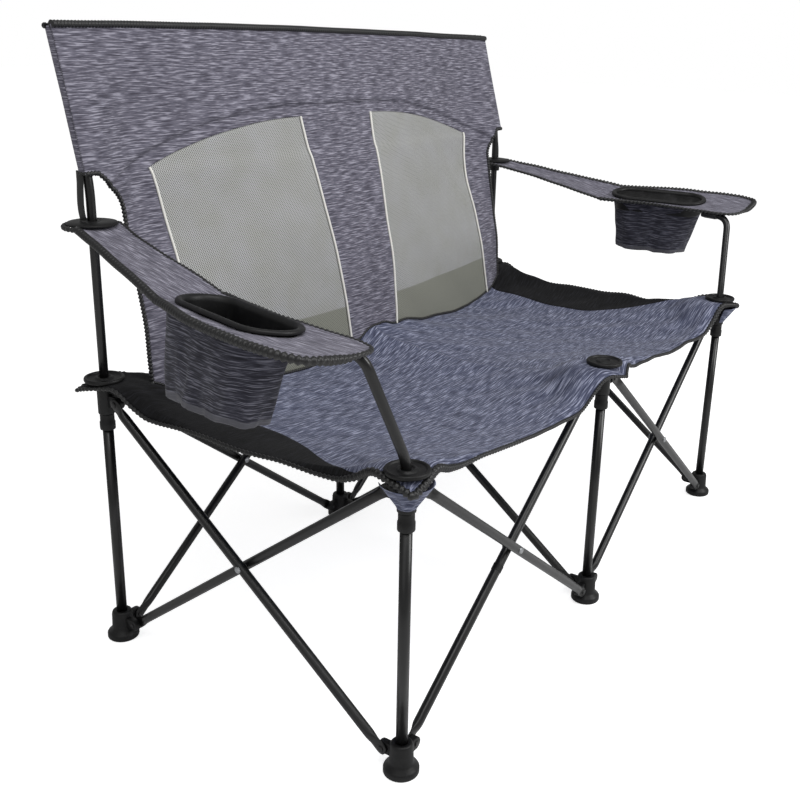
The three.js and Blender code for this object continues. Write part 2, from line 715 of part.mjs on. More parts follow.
// Windows are arched at the top and open at the bottom hem; grow moves the outline outwards
function windowSolid(sign, grow) {
  const low = FLANGE_Z - FRONT_SAG - MIDDLE_SAG - 2 * BACK_THICKNESS;
  const shape = new THREE.Shape();
  shape.moveTo(WINDOW_BOTTOM_INNER - grow, low);
  shape.lineTo(WINDOW_BOTTOM_OUTER + grow, low);
  shape.quadraticCurveTo(
    WINDOW_SIDE[0] + grow, WINDOW_SIDE[1],
    WINDOW_TOP_OUTER[0] + grow, WINDOW_TOP_OUTER[1] + grow,
  );
  shape.quadraticCurveTo(
    WINDOW_ARCH[0], WINDOW_ARCH[1] + grow,
    WINDOW_TOP_INNER[0] - grow, WINDOW_TOP_INNER[1] + grow,
  );
  shape.closePath();
  const geometry = new THREE.ExtrudeGeometry(shape, { depth: CELL, curveSegments: 6, bevelEnabled: false });
  geometry.rotateX(Math.PI / 2);
  geometry.translate(0, CELL, 0);
  const body = solid(geometry);
  return sign > 0 ? body : body.mirror([1, 0, 0]);
}

const wholeBack = backSolid();
const framedBack = wholeBack.subtract(windowSolid(-1, RUN_GAP)).subtract(windowSolid(1, RUN_GAP));
piece('back_panel', surface(framedBack), backFabric);
piece('back_mesh_left', surface(wholeBack.intersect(windowSolid(-1, 0))), windowMesh);
piece('back_mesh_right', surface(wholeBack.intersect(windowSolid(1, 0))), windowMesh);

// Arms: a rear half that tucks under the disc and slopes down, and a tilted front half that holds the cup ring
const armRearY = HALF - DISC_RADIUS + DISC_TUCK;
const armTipY = -HALF - ARM_TIP_FRONT;
const armWideY = armTipY + ARM_WIDE;

function armTop(out, y) {
  const rear = Math.max(y - ARM_CREASE_Y, 0) / (armRearY - ARM_CREASE_Y);
  return THREE.MathUtils.lerp(armPlane(out, y + HALF), DISC_Z - RUN_GAP, rear);
}

// Each station is a place along the arm with its inner and outer edge
function armSheet(sign, stations) {
  const last = stations.length - 1;
  const point = (u, v) => {
    const step = Math.min(Math.floor(u * last + 1e-9), last - 1);
    const [y, inner, outer] = stations[step].map((n, k) =>
      THREE.MathUtils.lerp(n, stations[step + 1][k], u * last - step));
    const out = THREE.MathUtils.lerp(inner, outer, v);
    return new THREE.Vector3(sign * (CELL + out), y, armTop(out, y));
  };
  return solid(sheet(point, last, 2, new THREE.Vector3(0, 0, -ARM_THICKNESS)));
}

function middleOf([inner, outer]) {
  return (inner + outer) / 2;
}

// A group on the arm's plane, with Y along the arm and Z square to the fabric
function placedOnArm(sign, out, y) {
  const turn = Math.atan2(middleOf(ARM_WIDE_EDGES) - middleOf(ARM_CREASE_EDGES), ARM_CREASE_Y - armWideY);
  const square = new THREE.Vector3(-sign * ARM_TILT_OUT, -ARM_TILT_BACK, 1).normalize();
  const across = new THREE.Vector3(Math.cos(turn), sign * Math.sin(turn), 0);
  const along = square.clone().cross(across).normalize();
  const group = placed(sign * (CELL + out), y, armPlane(out, y + HALF));
  group.quaternion.setFromRotationMatrix(new THREE.Matrix4().makeBasis(along.clone().cross(square), along, square));
  group.updateMatrix();
  return group;
}

const cupHoleLength = CUP_LENGTH - 2 * CUP_RIM + 2 * RUN_GAP;
const cupHoleWidth = CUP_WIDTH - 2 * CUP_RIM + 2 * RUN_GAP;
const armBottom = -ARM_THICKNESS / armSteep; // from the arm's plane

for (const [side, sign] of [['left', -1], ['right', 1]]) {
  const rear = armSheet(sign, [
    [armRearY, -ARM_REAR_WIDTH / 2, ARM_REAR_WIDTH / 2],
    [HALF - ARM_SHOULDER, ...ARM_SHOULDER_EDGES],
    [ARM_CREASE_Y + RUN_GAP, ...ARM_CREASE_EDGES],
  ]);
  piece(`arm_rear_${side}`, surface(rear), seatFabric);

  const front = armSheet(sign, [
    [ARM_CREASE_Y, ...ARM_CREASE_EDGES],
    [CUP_Y, ...ARM_CUP_EDGES],
    [armWideY, ...ARM_WIDE_EDGES],
    [armTipY + ARM_CORNER, ...ARM_CORNER_EDGES],
    [armTipY, ...ARM_TIP_EDGES],
  ]);
  const cup = placedOnArm(sign, middleOf(ARM_CUP_EDGES) - CUP_INSET, CUP_Y);
  const hole = ovalSolid(cupHoleLength, cupHoleWidth, -2 * ARM_THICKNESS, ARM_THICKNESS);
  piece(`arm_front_${side}`, surface(front.subtract(hole.transform(cup.matrix.elements))), seatFabric);

  const rimBottom = RUN_GAP;
  const skirtLength = CUP_LENGTH - 2 * CUP_RIM;
  const skirtWidth = CUP_WIDTH - 2 * CUP_RIM;
  const skirtBottom = armBottom - CUP_SKIRT;
  const rim = ovalSolid(CUP_LENGTH, CUP_WIDTH, rimBottom, rimBottom + CUP_RIM_THICKNESS)
    .add(ovalSolid(skirtLength, skirtWidth, skirtBottom, rimBottom + 1))
    .subtract(ovalSolid(skirtLength - 2 * CUP_WALL, skirtWidth - 2 * CUP_WALL, skirtBottom - 1,
      rimBottom + CUP_RIM_THICKNESS + 1));
  piece(`cup_ring_${side}`, surface(rim), blackPlastic, cup);

  const pouchTop = armBottom - RUN_GAP;
  const pouchFloor = pouchTop - POUCH_DEPTH;
  const insideLength = skirtLength + 2 * RUN_GAP;
  const insideWidth = skirtWidth + 2 * RUN_GAP;
  const pouch = lofted([
    ovalRing(POUCH_BOTTOM_LENGTH * 0.8, POUCH_BOTTOM_WIDTH * 0.8, pouchFloor - POUCH_SAG),
    ovalRing(POUCH_BOTTOM_LENGTH, POUCH_BOTTOM_WIDTH, pouchFloor),
    ovalRing(insideLength + 2 * POUCH_WALL, insideWidth + 2 * POUCH_WALL, skirtBottom),
    ovalRing(insideLength + 2 * POUCH_WALL, insideWidth + 2 * POUCH_WALL, pouchTop),
    ovalRing(insideLength, insideWidth, pouchTop),
    ovalRing(insideLength, insideWidth, skirtBottom),
    ovalRing(POUCH_BOTTOM_LENGTH - 2 * POUCH_WALL, POUCH_BOTTOM_WIDTH - 2 * POUCH_WALL, pouchFloor + POUCH_WALL),
    ovalRing(POUCH_BOTTOM_LENGTH * 0.8 - 2 * POUCH_WALL, POUCH_BOTTOM_WIDTH * 0.8 - 2 * POUCH_WALL,
      pouchFloor - POUCH_SAG + POUCH_WALL),
  ]);
  piece(`cup_pouch_${side}`, surface(solid(pouch)), pouchFabric, cup);

  // Disc with a neck that grips the back post, over the tucked end of the arm
  const disc = turnedSolid([
    [BORE_RADIUS, DISC_Z - DISC_NECK],
    [DISC_NECK_RADIUS, DISC_Z - DISC_NECK],
    [DISC_NECK_RADIUS, DISC_Z],
    [DISC_RADIUS, DISC_Z],
    [DISC_RADIUS, DISC_Z + DISC_THICKNESS * 0.5],
    [DISC_RADIUS - DISC_NECK_RADIUS, DISC_Z + DISC_THICKNESS],
    [BORE_RADIUS, DISC_Z + DISC_THICKNESS],
  ], HUB_SIDES);
  piece(`arm_disc_${side}`, surface(disc), blackPlastic, placed(...legs[`back_${side}`]));
}

// The origin is on the floor under the middle of the whole object
model.updateMatrixWorld(true);
const extent = new THREE.Box3().setFromObject(model);
model.position.set(-(extent.min.x + extent.max.x) / 2, -(extent.min.y + extent.max.y) / 2, 0);
model.updateMatrixWorld(true);

export default model;
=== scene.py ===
"""A folding camping loveseat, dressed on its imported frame.

Black powder-coated scissor tubes, moulded feet, collars and hubs, a heathered sling seat and back with two
mesh windows, fabric arms with cup pouches, and overlocked edges. Lengths are in metres, in the frame's own
axes: the seat faces -Y and the floor is at Z = 0.
"""
import json
import math

import bmesh
import bpy
from mathutils import Matrix, Vector, noise


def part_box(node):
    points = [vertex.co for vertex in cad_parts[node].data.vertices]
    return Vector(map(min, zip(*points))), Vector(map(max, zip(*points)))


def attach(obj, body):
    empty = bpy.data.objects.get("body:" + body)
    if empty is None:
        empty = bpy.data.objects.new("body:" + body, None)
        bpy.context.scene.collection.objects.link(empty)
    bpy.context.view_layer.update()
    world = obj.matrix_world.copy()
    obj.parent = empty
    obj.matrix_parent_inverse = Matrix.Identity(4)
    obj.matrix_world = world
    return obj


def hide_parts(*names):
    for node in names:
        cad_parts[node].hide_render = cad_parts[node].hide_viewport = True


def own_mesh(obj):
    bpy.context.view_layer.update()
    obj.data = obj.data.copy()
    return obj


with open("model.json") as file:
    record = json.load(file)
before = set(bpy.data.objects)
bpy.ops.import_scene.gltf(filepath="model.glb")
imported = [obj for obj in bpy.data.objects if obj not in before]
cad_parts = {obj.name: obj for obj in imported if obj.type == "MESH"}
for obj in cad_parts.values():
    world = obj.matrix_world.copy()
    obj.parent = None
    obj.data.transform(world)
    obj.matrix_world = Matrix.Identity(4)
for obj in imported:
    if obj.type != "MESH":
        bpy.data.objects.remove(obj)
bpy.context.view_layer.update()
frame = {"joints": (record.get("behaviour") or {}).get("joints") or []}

MM = 0.001
UP = Vector((0, 0, 1))

# Places that the frame gives
CORNERS = ("front_left", "front_middle", "front_right", "back_left", "back_middle", "back_right")
LEGS = {corner: (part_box(f"leg_{corner}")[0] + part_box(f"leg_{corner}")[1]) / 2 for corner in CORNERS}
PIVOTS = {joint["name"]: Vector(joint["pos_m"]) for joint in frame["joints"]}
CELL = LEGS["front_right"].x
HALF = CELL / 2
MID_Y = (LEGS["front_middle"].y + LEGS["back_middle"].y) / 2
FOOT_PIN_Z = PIVOTS["fold"].z
HUB_PIN_Z = PIVOTS["hub_pivot_front_middle"].z
PIN_REACH = PIVOTS["foot_pivot_front_middle"].y - LEGS["front_middle"].y
LEG_BOTTOM_Z, LEG_TOP_Z = (corner.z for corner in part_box("leg_front_left"))
FLANGE_TOP_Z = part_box("hub_front_left")[1].z
POST_BOTTOM_Z, POST_TOP_Z = (corner.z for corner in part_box("back_post_left"))
BACK_TOP_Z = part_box("back_panel")[1].z
DISC_BOTTOM_Z, DISC_TOP_Z = (corner.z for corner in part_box("arm_disc_left"))

# Tubes and mouldings
LEG_RADIUS = 8.5 * MM
POST_RADIUS = 7 * MM
BRACE_RADIUS = 7.5 * MM
BRACE_OFFSET = 8 * MM
TUBE_WALL = 1.2 * MM
LUG_RADIUS = 9.5 * MM
LUG_HALF = 5.2 * MM
FLANGE_Z = FLANGE_TOP_Z - 7 * MM
BEND_Z = 770 * MM
LEAN = math.tan(math.radians(15))
POST_BEND = 30 * MM
ARM_TUBE_OUT = 64 * MM
ARM_TUBE_BACK = 24 * MM
ARM_TUBE_END = 79 * MM
ARM_TUBE_UNDER = 11.4 * MM
ARM_TUBE_RISE = 4 * MM
ARM_TUBE_BEND = 26 * MM

# Outlines of turned mouldings, as radius and height in millimetres
FOOT_OUTLINE = [(0, 0), (24, 0), (26, 2), (26, 9), (24.5, 11.5), (19.5, 15.5), (17.6, 20), (16.8, 44),
                (15.6, 48.5), (13.6, 50), (8.7, 50), (8.7, 40), (0, 40)]
COLLAR_OUTLINE = [(8.8, 379), (11.8, 379), (12.2, 380), (12.2, 391), (11.2, 393), (11.2, 404), (10.4, 405),
                  (7.3, 405), (7.3, 401), (8.8, 401), (8.8, 379)]
HUB_OUTLINE = [(0, 405.3), (12.2, 405.3), (13, 406.5), (13, 448), (15, 455), (20, 459), (29.5, 460),
               (31, 461.5), (31, 465), (30, 466.6), (28, 467), (26.2, 466.2), (25.2, 464), (20, 463.4),
               (15.4, 464), (13.4, 466.2), (11.4, 467), (9.6, 466.4), (8.5, 464.6), (0, 464.6)]

# Braces, in millimetres: run, half width and half height of a flattened end, and run and radius of a pin
BRACE_TAB = [(-9.2, 1.6, 2.2), (-8.4, 2.2, 4.8), (-6, 2.5, 7.6), (-2, 2.5, 9.2), (4, 2.5, 9.4),
             (12, 2.5, 9.2), (15, 3.4, 8.9), (19, 5.6, 8.2), (24, 7.1, 7.7), (29, 7.5, 7.5)]
BRACE_PIN = [(-6.9, 2.4), (-6.4, 4.2), (-5.4, 4.4), (-5.3, 3), (10.4, 3), (10.5, 5.4), (11.4, 5.2), (12, 4),
             (12.3, 1.6)]
# A band on one brace: its share of the way up, and run and radius in millimetres
BAND_SHARE = 0.43
BAND_STATIONS = [(0, 7.6), (0.6, 8.3), (11.4, 8.3), (12, 7.6)]
# An arm tube's pocket: share of the tube's last stretch, and half width and half height in millimetres
ARM_POCKET = [(0.42, 7.4, 7.2), (0.44, 9.5, 8), (0.5, 10.5, 8.6), (0.9, 10.5, 8.6), (1.06, 9, 7.4),
              (1.08, 4, 3)]

# Seat
FRONT_SAG = 52 * MM
SIDE_SAG = 34 * MM
SIDE_SAG_LEAN = 6 * MM
RIDGE_SAG = 50 * MM
MIDDLE_SAG = 14 * MM
SAG_SKEW = 1.5
FLANGE_FLAT = (34 * MM, 112 * MM)
LOOSE_FROM = (60 * MM, 200 * MM)
# The hem droops over its rounded rim, and less beside a hub between two distances from it
HEM_DROOP = 15 * MM
HEM_RIM = (12 * MM, 46 * MM)
BESIDE_FROM = (40 * MM, 80 * MM)
BESIDE_TO = (90 * MM, 230 * MM)
BESIDE_SHARE = 0.8
SEAT_CORNER_OUT = 43 * MM
SEAT_EDGE_OUT = 8 * MM
FAN_REACH = 115 * MM
FAN_SPREAD = 52 * MM
FAN_HEIGHT = 1.9 * MM
GUSSET_WIDTH = 92 * MM
GUSSET_TIP_Y = -205 * MM
GUSSET_FULL_Y = 20 * MM
GUSSET_LAP = 3 * MM
POCKET_FLAT = (90 * MM, 42 * MM)

# Back
SLEEVE_Z = 782 * MM
SLEEVE_CUT = 66 * MM
SLEEVE_MOUTH_OUT = 11 * MM
SLEEVE_TOP_OUT = 8.4 * MM
SLEEVE_IN = 10 * MM
SLEEVE_DEEP = 8.8 * MM
SLEEVE_ROUND = 62 * MM
BACK_SIDE_INSET = 52 * MM
BACK_SET = 11.5 * MM
BACK_FORWARD_MIDDLE = 76 * MM
BACK_FORWARD_SIDE = 32 * MM
# The bow grows from the middle, and dies away at the posts, the seat and the top hem
BACK_BOW = 22 * MM
BOW_MIDDLE = (110 * MM, 440 * MM)
BOW_POST = (10 * MM, 110 * MM)
BOW_SEAT = (520 * MM, 740 * MM)
BOW_HEM = (0, 170 * MM)
HEM_Z = BACK_TOP_Z + 2 * MM
HEM_LEAN = 3 * MM
HEM_BOW = 5 * MM
WINDOW_CROWN_Z = 841 * MM
WINDOW_CROWN_X = 104 * MM
WINDOW_CORNER_X = 460 * MM
WINDOW_WAIST_X = 424 * MM
WINDOW_FOOT_X = (72 * MM, 474 * MM)
WINDOW_DROP = 62 * MM
SHOULDER_X = CELL - 35 * MM
SEAM_ABOVE = 18 * MM
RISE_POWER = 1.35
# A strap beside each outer post: outside and behind the post's axis, and height, in millimetres
STRAP_ROUTE = [(12, 4, 713), (13.5, 5, 724), (13.5, 6, 738), (12, 7, 752), (10, 8, 768), (9, 9, 790)]

# Arms and cups
ARM_REAR_Y = HALF - 14 * MM
ARM_CREASE_Y = 15 * MM
ARM_TIP_Y = -HALF + 1 * MM
ARM_REAR_Z = DISC_TOP_Z - 6.3 * MM
ARM_FRONT_Z = 630 * MM
ARM_TILT_OUT = 0.13
ARM_TILT_BACK = 0.05
ARM_END_RADIUS = 41 * MM
ARM_THICK = 3 * MM
# Inner and outer edge of an arm outside the leg axis, from the disc to the tip
ARM_EDGES = [
    (ARM_REAR_Y, -40 * MM, 38 * MM),
    (HALF - 92 * MM, -18 * MM, 63 * MM),
    (ARM_CREASE_Y, 8 * MM, 126 * MM),
    (-94 * MM, 36 * MM, 170 * MM),
    (ARM_TIP_Y + 50 * MM, 48 * MM, 196 * MM),
    (ARM_TIP_Y + 16 * MM, 58 * MM, 190 * MM),
    (ARM_TIP_Y + 4 * MM, 74 * MM, 178 * MM),
    (ARM_TIP_Y, 92 * MM, 162 * MM),
]
ARM_PITCH = 8.5 * MM
CUP_Y = -94 * MM
CUP_OUT = 91 * MM
CUP_TURN = math.radians(12.1)
CUP_LENGTH = 214 * MM
CUP_WIDTH = 94 * MM
# The ring's section, as inset and height in millimetres
CUP_PROFILE = [(0, 0.3), (0, 2.6), (1, 4.4), (2.8, 5.3), (6.4, 5.3), (8.6, 4.3), (10.8, 1.5), (11.5, -3),
               (11.5, -30), (10.2, -30), (9, -28.6), (9, 0.3)]
POUCH_DEPTH = 127 * MM
POUCH_SIDE = 0.82

SIDES = {"left": -1, "right": 1}
FACES = {
    "back_left": ("back_middle", "back_left", Vector((0, 1, 0)), "outer"),
    "back_right": ("back_middle", "back_right", Vector((0, 1, 0)), "inner"),
    "middle": ("back_middle", "front_middle", Vector((-1, 0, 0)), "inner"),
    "side_left": ("back_left", "front_left", Vector((-1, 0, 0)), "inner"),
    "side_right": ("back_right", "front_right", Vector((1, 0, 0)), "inner"),
    "front_left": ("front_middle", "front_left", Vector((0, -1, 0)), "outer"),
    "front_right": ("front_middle", "front_right", Vector((0, -1, 0)), "inner"),
}


def mix(low, high, share):
    return low + (high - low) * share


def ease(value, low, high):
    share = min(max((value - low) / (high - low), 0), 1)
    return share * share * (3 - 2 * share)


def at(x, y, z):
    """A point of the frame, with y measured from the middle of the cells."""
    return Vector((x, y + MID_Y, z))


def on_axis(corner, z=0):
    """A point on a leg's axis."""
    return Vector((LEGS[corner].x, LEGS[corner].y, z))


def wander(x, y, z):
    return noise.noise(Vector((x, y, z)))


def smooth(places, run, column):
    """A value on a smooth curve through listed places, each with its falling run first."""
    last = len(places) - 2
    step = next((i for i in range(last) if run >= places[i + 1][0]), last)

    def slope(i):
        before, after = places[max(i - 1, 0)], places[min(i + 1, last + 1)]
        return (after[column] - before[column]) / (after[0] - before[0])
    a, b = places[step], places[step + 1]
    span = b[0] - a[0]
    t = min(max((run - a[0]) / span, 0), 1)
    return ((1 + 2 * t) * (1 - t) ** 2 * a[column] + t * (1 - t) ** 2 * span * slope(step)
            + t * t * (3 - 2 * t) * b[column] - t * t * (1 - t) * span * slope(step + 1))


def arm_plane(out, y):
    """Height of the arm's front half, outside the leg axis by out."""
    return ARM_FRONT_Z + ARM_TILT_OUT * out + ARM_TILT_BACK * (y + HALF)


# Finishes

def linear(colour):
    """An sRGB hex colour as linear red, green, blue and alpha."""
    channels = [int(colour[i:i + 2], 16) / 255 for i in (0, 2, 4)]
    return [c / 12.92 if c <= 0.04045 else ((c + 0.055) / 1.055) ** 2.4 for c in channels] + [1]


def add(tree, kind, inputs=None, output=0, **settings):
    """Adds a node with its settings and returns an output of it; an input takes a value or an output."""
    node = tree.nodes.new("ShaderNode" + kind)
    for name, value in settings.items():
        setattr(node, name, value)
    for name, value in (inputs or {}).items():
        if isinstance(value, bpy.types.NodeSocket):
            tree.links.new(value, node.inputs[name])
        else:
            node.inputs[name].default_value = value
    return node.outputs[output]


def new_finish(name, **values):
    """A material with values on its shader's sockets; returns it with its tree and shader."""
    material = bpy.data.materials.new(name)
    material.use_nodes = True
    shader = material.node_tree.nodes["Principled BSDF"]
    for socket, value in values.items():
        shader.inputs[socket.replace("_", " ")].default_value = value
    return material, material.node_tree, shader


def dress(tree, shader, **outputs):
    """Links outputs to the shader's sockets."""
    for socket, output in outputs.items():
        tree.links.new(output, shader.inputs[socket.replace("_", " ")])


def powder_coat():
    """Black powder coat on steel tube: a satin skin with a fine orange peel that breaks up the highlight."""
    material, tree, shader = new_finish("powder_coated_steel", Specular_IOR_Level=0.4, Coat_Weight=0.2,
                                        Coat_Roughness=0.16)
    place = add(tree, "TexCoord", output="Object")
    # Orange peel is about 0.8 mm across; drawn at 2 mm so that it shows
    peel = add(tree, "TexNoise", {"Vector": place, "Scale": 1 / (2 * MM), "Detail": 2})
    cloud = add(tree, "TexNoise", {"Vector": place, "Scale": 1 / (70 * MM), "Detail": 3})
    tone = add(tree, "Mix", {0: cloud, 6: linear("090909"), 7: linear("141415")}, output=2, data_type="RGBA")
    gloss = add(tree, "MapRange", {"Value": cloud, 3: 0.26, 4: 0.42})
    bump = add(tree, "Bump", {"Height": peel, "Strength": 0.15, "Distance": 0.25 * MM})
    dress(tree, shader, Base_Color=tone, Roughness=gloss, Normal=bump)
    return material


def moulded_nylon():
    """Black glass-filled nylon from a spark-eroded mould: matt, finely grained, greyer where scuffed."""
    material, tree, shader = new_finish("moulded_nylon", Specular_IOR_Level=0.34)
    place = add(tree, "TexCoord", output="Object")
    # Mould grain is about 0.3 mm; drawn at 1.5 mm so that it shows
    grain = add(tree, "TexNoise", {"Vector": place, "Scale": 1 / (1.5 * MM), "Detail": 3})
    scuff = add(tree, "TexNoise", {"Vector": place, "Scale": 1 / (18 * MM), "Detail": 5, "Roughness": 0.7})
    worn = add(tree, "MapRange", {"Value": scuff, 1: 0.5, 2: 0.75})
    tone = add(tree, "Mix", {0: worn, 6: linear("0b0b0c"), 7: linear("1c1c1d")}, output=2, data_type="RGBA")
    gloss = add(tree, "MapRange", {"Value": grain, 3: 0.38, 4: 0.56})
    bump = add(tree, "Bump", {"Height": grain, "Strength": 0.3, "Distance": 0.2 * MM})
    dress(tree, shader, Base_Color=tone, Roughness=gloss, Normal=bump)
    return material


def zinc_plate():
    """Bright zinc on the crossing rivets: a pale metal with a faint spangle."""
    material, tree, shader = new_finish("zinc_plated_rivet", Metallic=1.0)
    place = add(tree, "TexCoord", output="Object")
    spangle = add(tree, "TexVoronoi", {"Vector": place, "Scale": 1 / (2 * MM)}, output="Distance")
    tone = add(tree, "Mix", {0: spangle, 6: linear("b9bbbd"), 7: linear("8f9194")}, output=2,
               data_type="RGBA")
    gloss = add(tree, "MapRange", {"Value": spangle, 3: 0.28, 4: 0.45})
    dress(tree, shader, Base_Color=tone, Roughness=gloss)
    return material


def heather(name, ground, light, dark, sheen=0.1, hem=None):
    """Heathered polyester: slubby two-tone weft in short streaks over a plain weave, softly sheened."""
    material, tree, shader = new_finish(name, Roughness=0.88, Specular_IOR_Level=0.2, Sheen_Weight=sheen,
                                        Sheen_Roughness=0.5)
    weave = add(tree, "UVMap", uv_map="weave")
    # Slubs are about 1 mm thick and 30 mm long; drawn 2.1 mm thick so that they show
    along = add(tree, "Mapping", {"Vector": weave, "Scale": (1 / (30 * MM), 1 / (2.1 * MM), 1)})
    slub = add(tree, "TexNoise", {"Vector": along, "Scale": 1, "Detail": 2, "Roughness": 0.6})
    broad = add(tree, "Mapping", {"Vector": weave, "Scale": (1 / (70 * MM), 1 / (24 * MM), 1)})
    mottle = add(tree, "TexNoise", {"Vector": broad, "Scale": 1, "Detail": 3})
    # Threads lie about 0.6 mm apart; drawn at 2.4 mm so that they show
    threads = add(tree, "Mapping", {"Vector": weave, "Scale": (1 / (2.4 * MM), 1 / (2.4 * MM), 1)})
    cross = add(tree, "TexChecker", {"Vector": threads, "Scale": 2, 1: (1, 1, 1, 1), 2: (0, 0, 0, 1)},
                output="Fac")
    patch = add(tree, "MapRange", {"Value": mottle, 1: 0.3, 2: 0.7, 4: 0.32})
    pale = add(tree, "MapRange", {"Value": slub, 1: 0.52, 2: 0.64, 4: 0.95})
    deep = add(tree, "MapRange", {"Value": slub, 1: 0.5, 2: 0.37, 4: 0.95})
    tone = add(tree, "Mix", {0: patch, 6: linear(ground), 7: linear(dark)}, output=2, data_type="RGBA")
    tone = add(tree, "Mix", {0: pale, 6: tone, 7: linear(light)}, output=2, data_type="RGBA")
    tone = add(tree, "Mix", {0: deep, 6: tone, 7: linear(dark)}, output=2, data_type="RGBA")
    if hem:
        depth, colour = hem
        run = add(tree, "SeparateXYZ", {0: weave}, output="Y")
        band = add(tree, "MapRange", {"Value": run, 1: depth, 2: depth + 2 * MM, 4: 0.8})
        tone = add(tree, "Mix", {0: band, 6: tone, 7: linear(colour)}, output=2, data_type="RGBA")
    height = add(tree, "Mix", {0: 0.25, 2: slub, 3: cross})
    bump = add(tree, "Bump", {"Height": height, "Strength": 0.4, "Distance": 0.6 * MM})
    dress(tree, shader, Base_Color=tone, Normal=bump)
    return material


def window_net():
    """Knitted spacer mesh: pale yarn with a diamond lattice of dark holes, darker in a band at its foot."""
    material, tree, shader = new_finish("knitted_mesh", Roughness=0.8, Specular_IOR_Level=0.3,
                                        Sheen_Weight=0.1)
    weave = add(tree, "UVMap", uv_map="weave")
    # Holes lie about 3 mm apart; drawn at 4.4 mm so that they show
    cells = add(tree, "Mapping", {"Vector": weave, "Scale": (1 / (4.4 * MM), 1 / (5 * MM), 1)})
    middle = (0.5, 0.5, 0)
    shifted = add(tree, "VectorMath", {0: cells, 1: middle}, operation="ADD")
    gaps = []
    for lattice in (cells, shifted):
        cell = add(tree, "VectorMath", {0: lattice}, operation="FRACTION")
        offset = add(tree, "VectorMath", {0: cell, 1: middle}, operation="SUBTRACT")
        gaps.append(add(tree, "VectorMath", {0: offset}, output="Value", operation="LENGTH"))
    nearest = add(tree, "Math", {0: gaps[0], 1: gaps[1]}, operation="MINIMUM")
    yarn = add(tree, "MapRange", {"Value": nearest, 1: 0.14, 2: 0.3})
    # The darker band at the foot ends a little higher towards the posts
    sideways, up = (add(tree, "SeparateXYZ", {0: weave}, output=axis) for axis in "XY")
    outward = add(tree, "Math", {0: sideways}, operation="ABSOLUTE")
    foot = add(tree, "Math", {0: outward, 1: -0.02, 2: up}, operation="MULTIPLY_ADD")
    darker_band = add(tree, "MapRange", {"Value": foot, 1: 488 * MM, 2: 491 * MM})
    cloud = add(tree, "TexNoise", {"Vector": weave, "Scale": 1 / (60 * MM), "Detail": 3})
    shade = add(tree, "Mix", {0: cloud, 6: linear("a6a79e"), 7: linear("bababf")}, output=2, data_type="RGBA")
    shade = add(tree, "Mix", {0: darker_band, 6: linear("8e8f84"), 7: shade}, output=2, data_type="RGBA")
    tone = add(tree, "Mix", {0: yarn, 6: linear("4c4d47"), 7: shade}, output=2, data_type="RGBA")
    bump = add(tree, "Bump", {"Height": yarn, "Strength": 0.5, "Distance": 0.8 * MM})
    dress(tree, shader, Base_Color=tone, Normal=bump)
    return material


def spun_yarn(name, pale, deep, roughness):
    """Sewn yarn or tape: fibres catch light unevenly, so its tone wanders along the edge."""
    material, tree, shader = new_finish(name, Roughness=roughness, Sheen_Weight=0.05, Specular_IOR_Level=0.5)
    place = add(tree, "TexCoord", output="Object")
    fibre = add(tree, "TexNoise", {"Vector": place, "Scale": 1 / (3 * MM), "Detail": 4, "Roughness": 0.7})
    tone = add(tree, "Mix", {0: fibre, 6: linear(deep), 7: linear(pale)}, output=2, data_type="RGBA")
    bump = add(tree, "Bump", {"Height": fibre, "Strength": 0.4, "Distance": 0.4 * MM})
    dress(tree, shader, Base_Color=tone, Normal=bump)
    return material


STEEL = powder_coat()
NYLON = moulded_nylon()
ZINC = zinc_plate()
SEAT_CLOTH = heather("heather_polyester_seat", "595e75", "a0a4ba", "34374b")
BACK_CLOTH = heather("heather_polyester_back", "6b6976", "a09eab", "46444f")
# The pouch is the arms' heather painted darker: painted shade, as on walls that face away from the light
SHADED_POUCH_CLOTH = heather("heather_polyester_pouch_painted_shade", "3a3a45", "73737f", "1f1f27", hem=(117 * MM, "5c5c62"))
GUSSET_CLOTH = heather("heather_polyester_black", "151517", "222226", "0c0c0d", sheen=0.03)
NET = window_net()
PIPING = spun_yarn("piping_cord", "f4f3ee", "dddbd2", 0.7)
OVERLOCK = spun_yarn("overlock_yarn", "1e1e1f", "070708", 0.42)


# Ways of making

def piece(bm, name, finish, body, slot, *nodes, sharp=38):
    """Makes a bmesh a shaded piece that rides its body and stands for its nodes."""
    mesh = bpy.data.meshes.new(name)
    bm.to_mesh(mesh)
    bm.free()
    mesh.materials.append(finish)
    mesh.shade_smooth()
    mesh.set_sharp_from_angle(angle=math.radians(sharp))
    made = bpy.data.objects.new(name, mesh)
    bpy.context.scene.collection.objects.link(made)
    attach(made, body)
    if nodes:
        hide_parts(*nodes)
    return made


def face_out(bm):
    bmesh.ops.remove_doubles(bm, verts=bm.verts, dist=0.001 * MM)
    bmesh.ops.recalc_face_normals(bm, faces=bm.faces)


def soften(bm, width):
    """Rounds the sharp edges, as a mould or a press leaves them."""
    edges = [edge for edge in bm.edges
             if len(edge.link_faces) == 2 and edge.calc_face_angle() > math.radians(32)]
    bmesh.ops.bevel(bm, geom=edges, offset=width, offset_type="OFFSET", affect="EDGES", segments=2,
                    profile=0.5, clamp_overlap=True, material=-1)


def turned(bm, outline, place, steps=48):
    """Spins an outline of radius and height, in millimetres, about the upright through a place."""
    verts = [bm.verts.new(place + Vector((radius * MM, 0, height * MM))) for radius, height in outline]
    edges = [bm.edges.new(pair) for pair in zip(verts, verts[1:])]
    bmesh.ops.spin(bm, geom=verts + edges, cent=place, axis=UP, angle=2 * math.pi, steps=steps,
                   use_merge=True)


def turned_moulding(name, outline, place, body, node):
    bm = bmesh.new()
    turned(bm, outline, place)
    face_out(bm)
    return piece(bm, name, NYLON, body, "black_plastic", node)


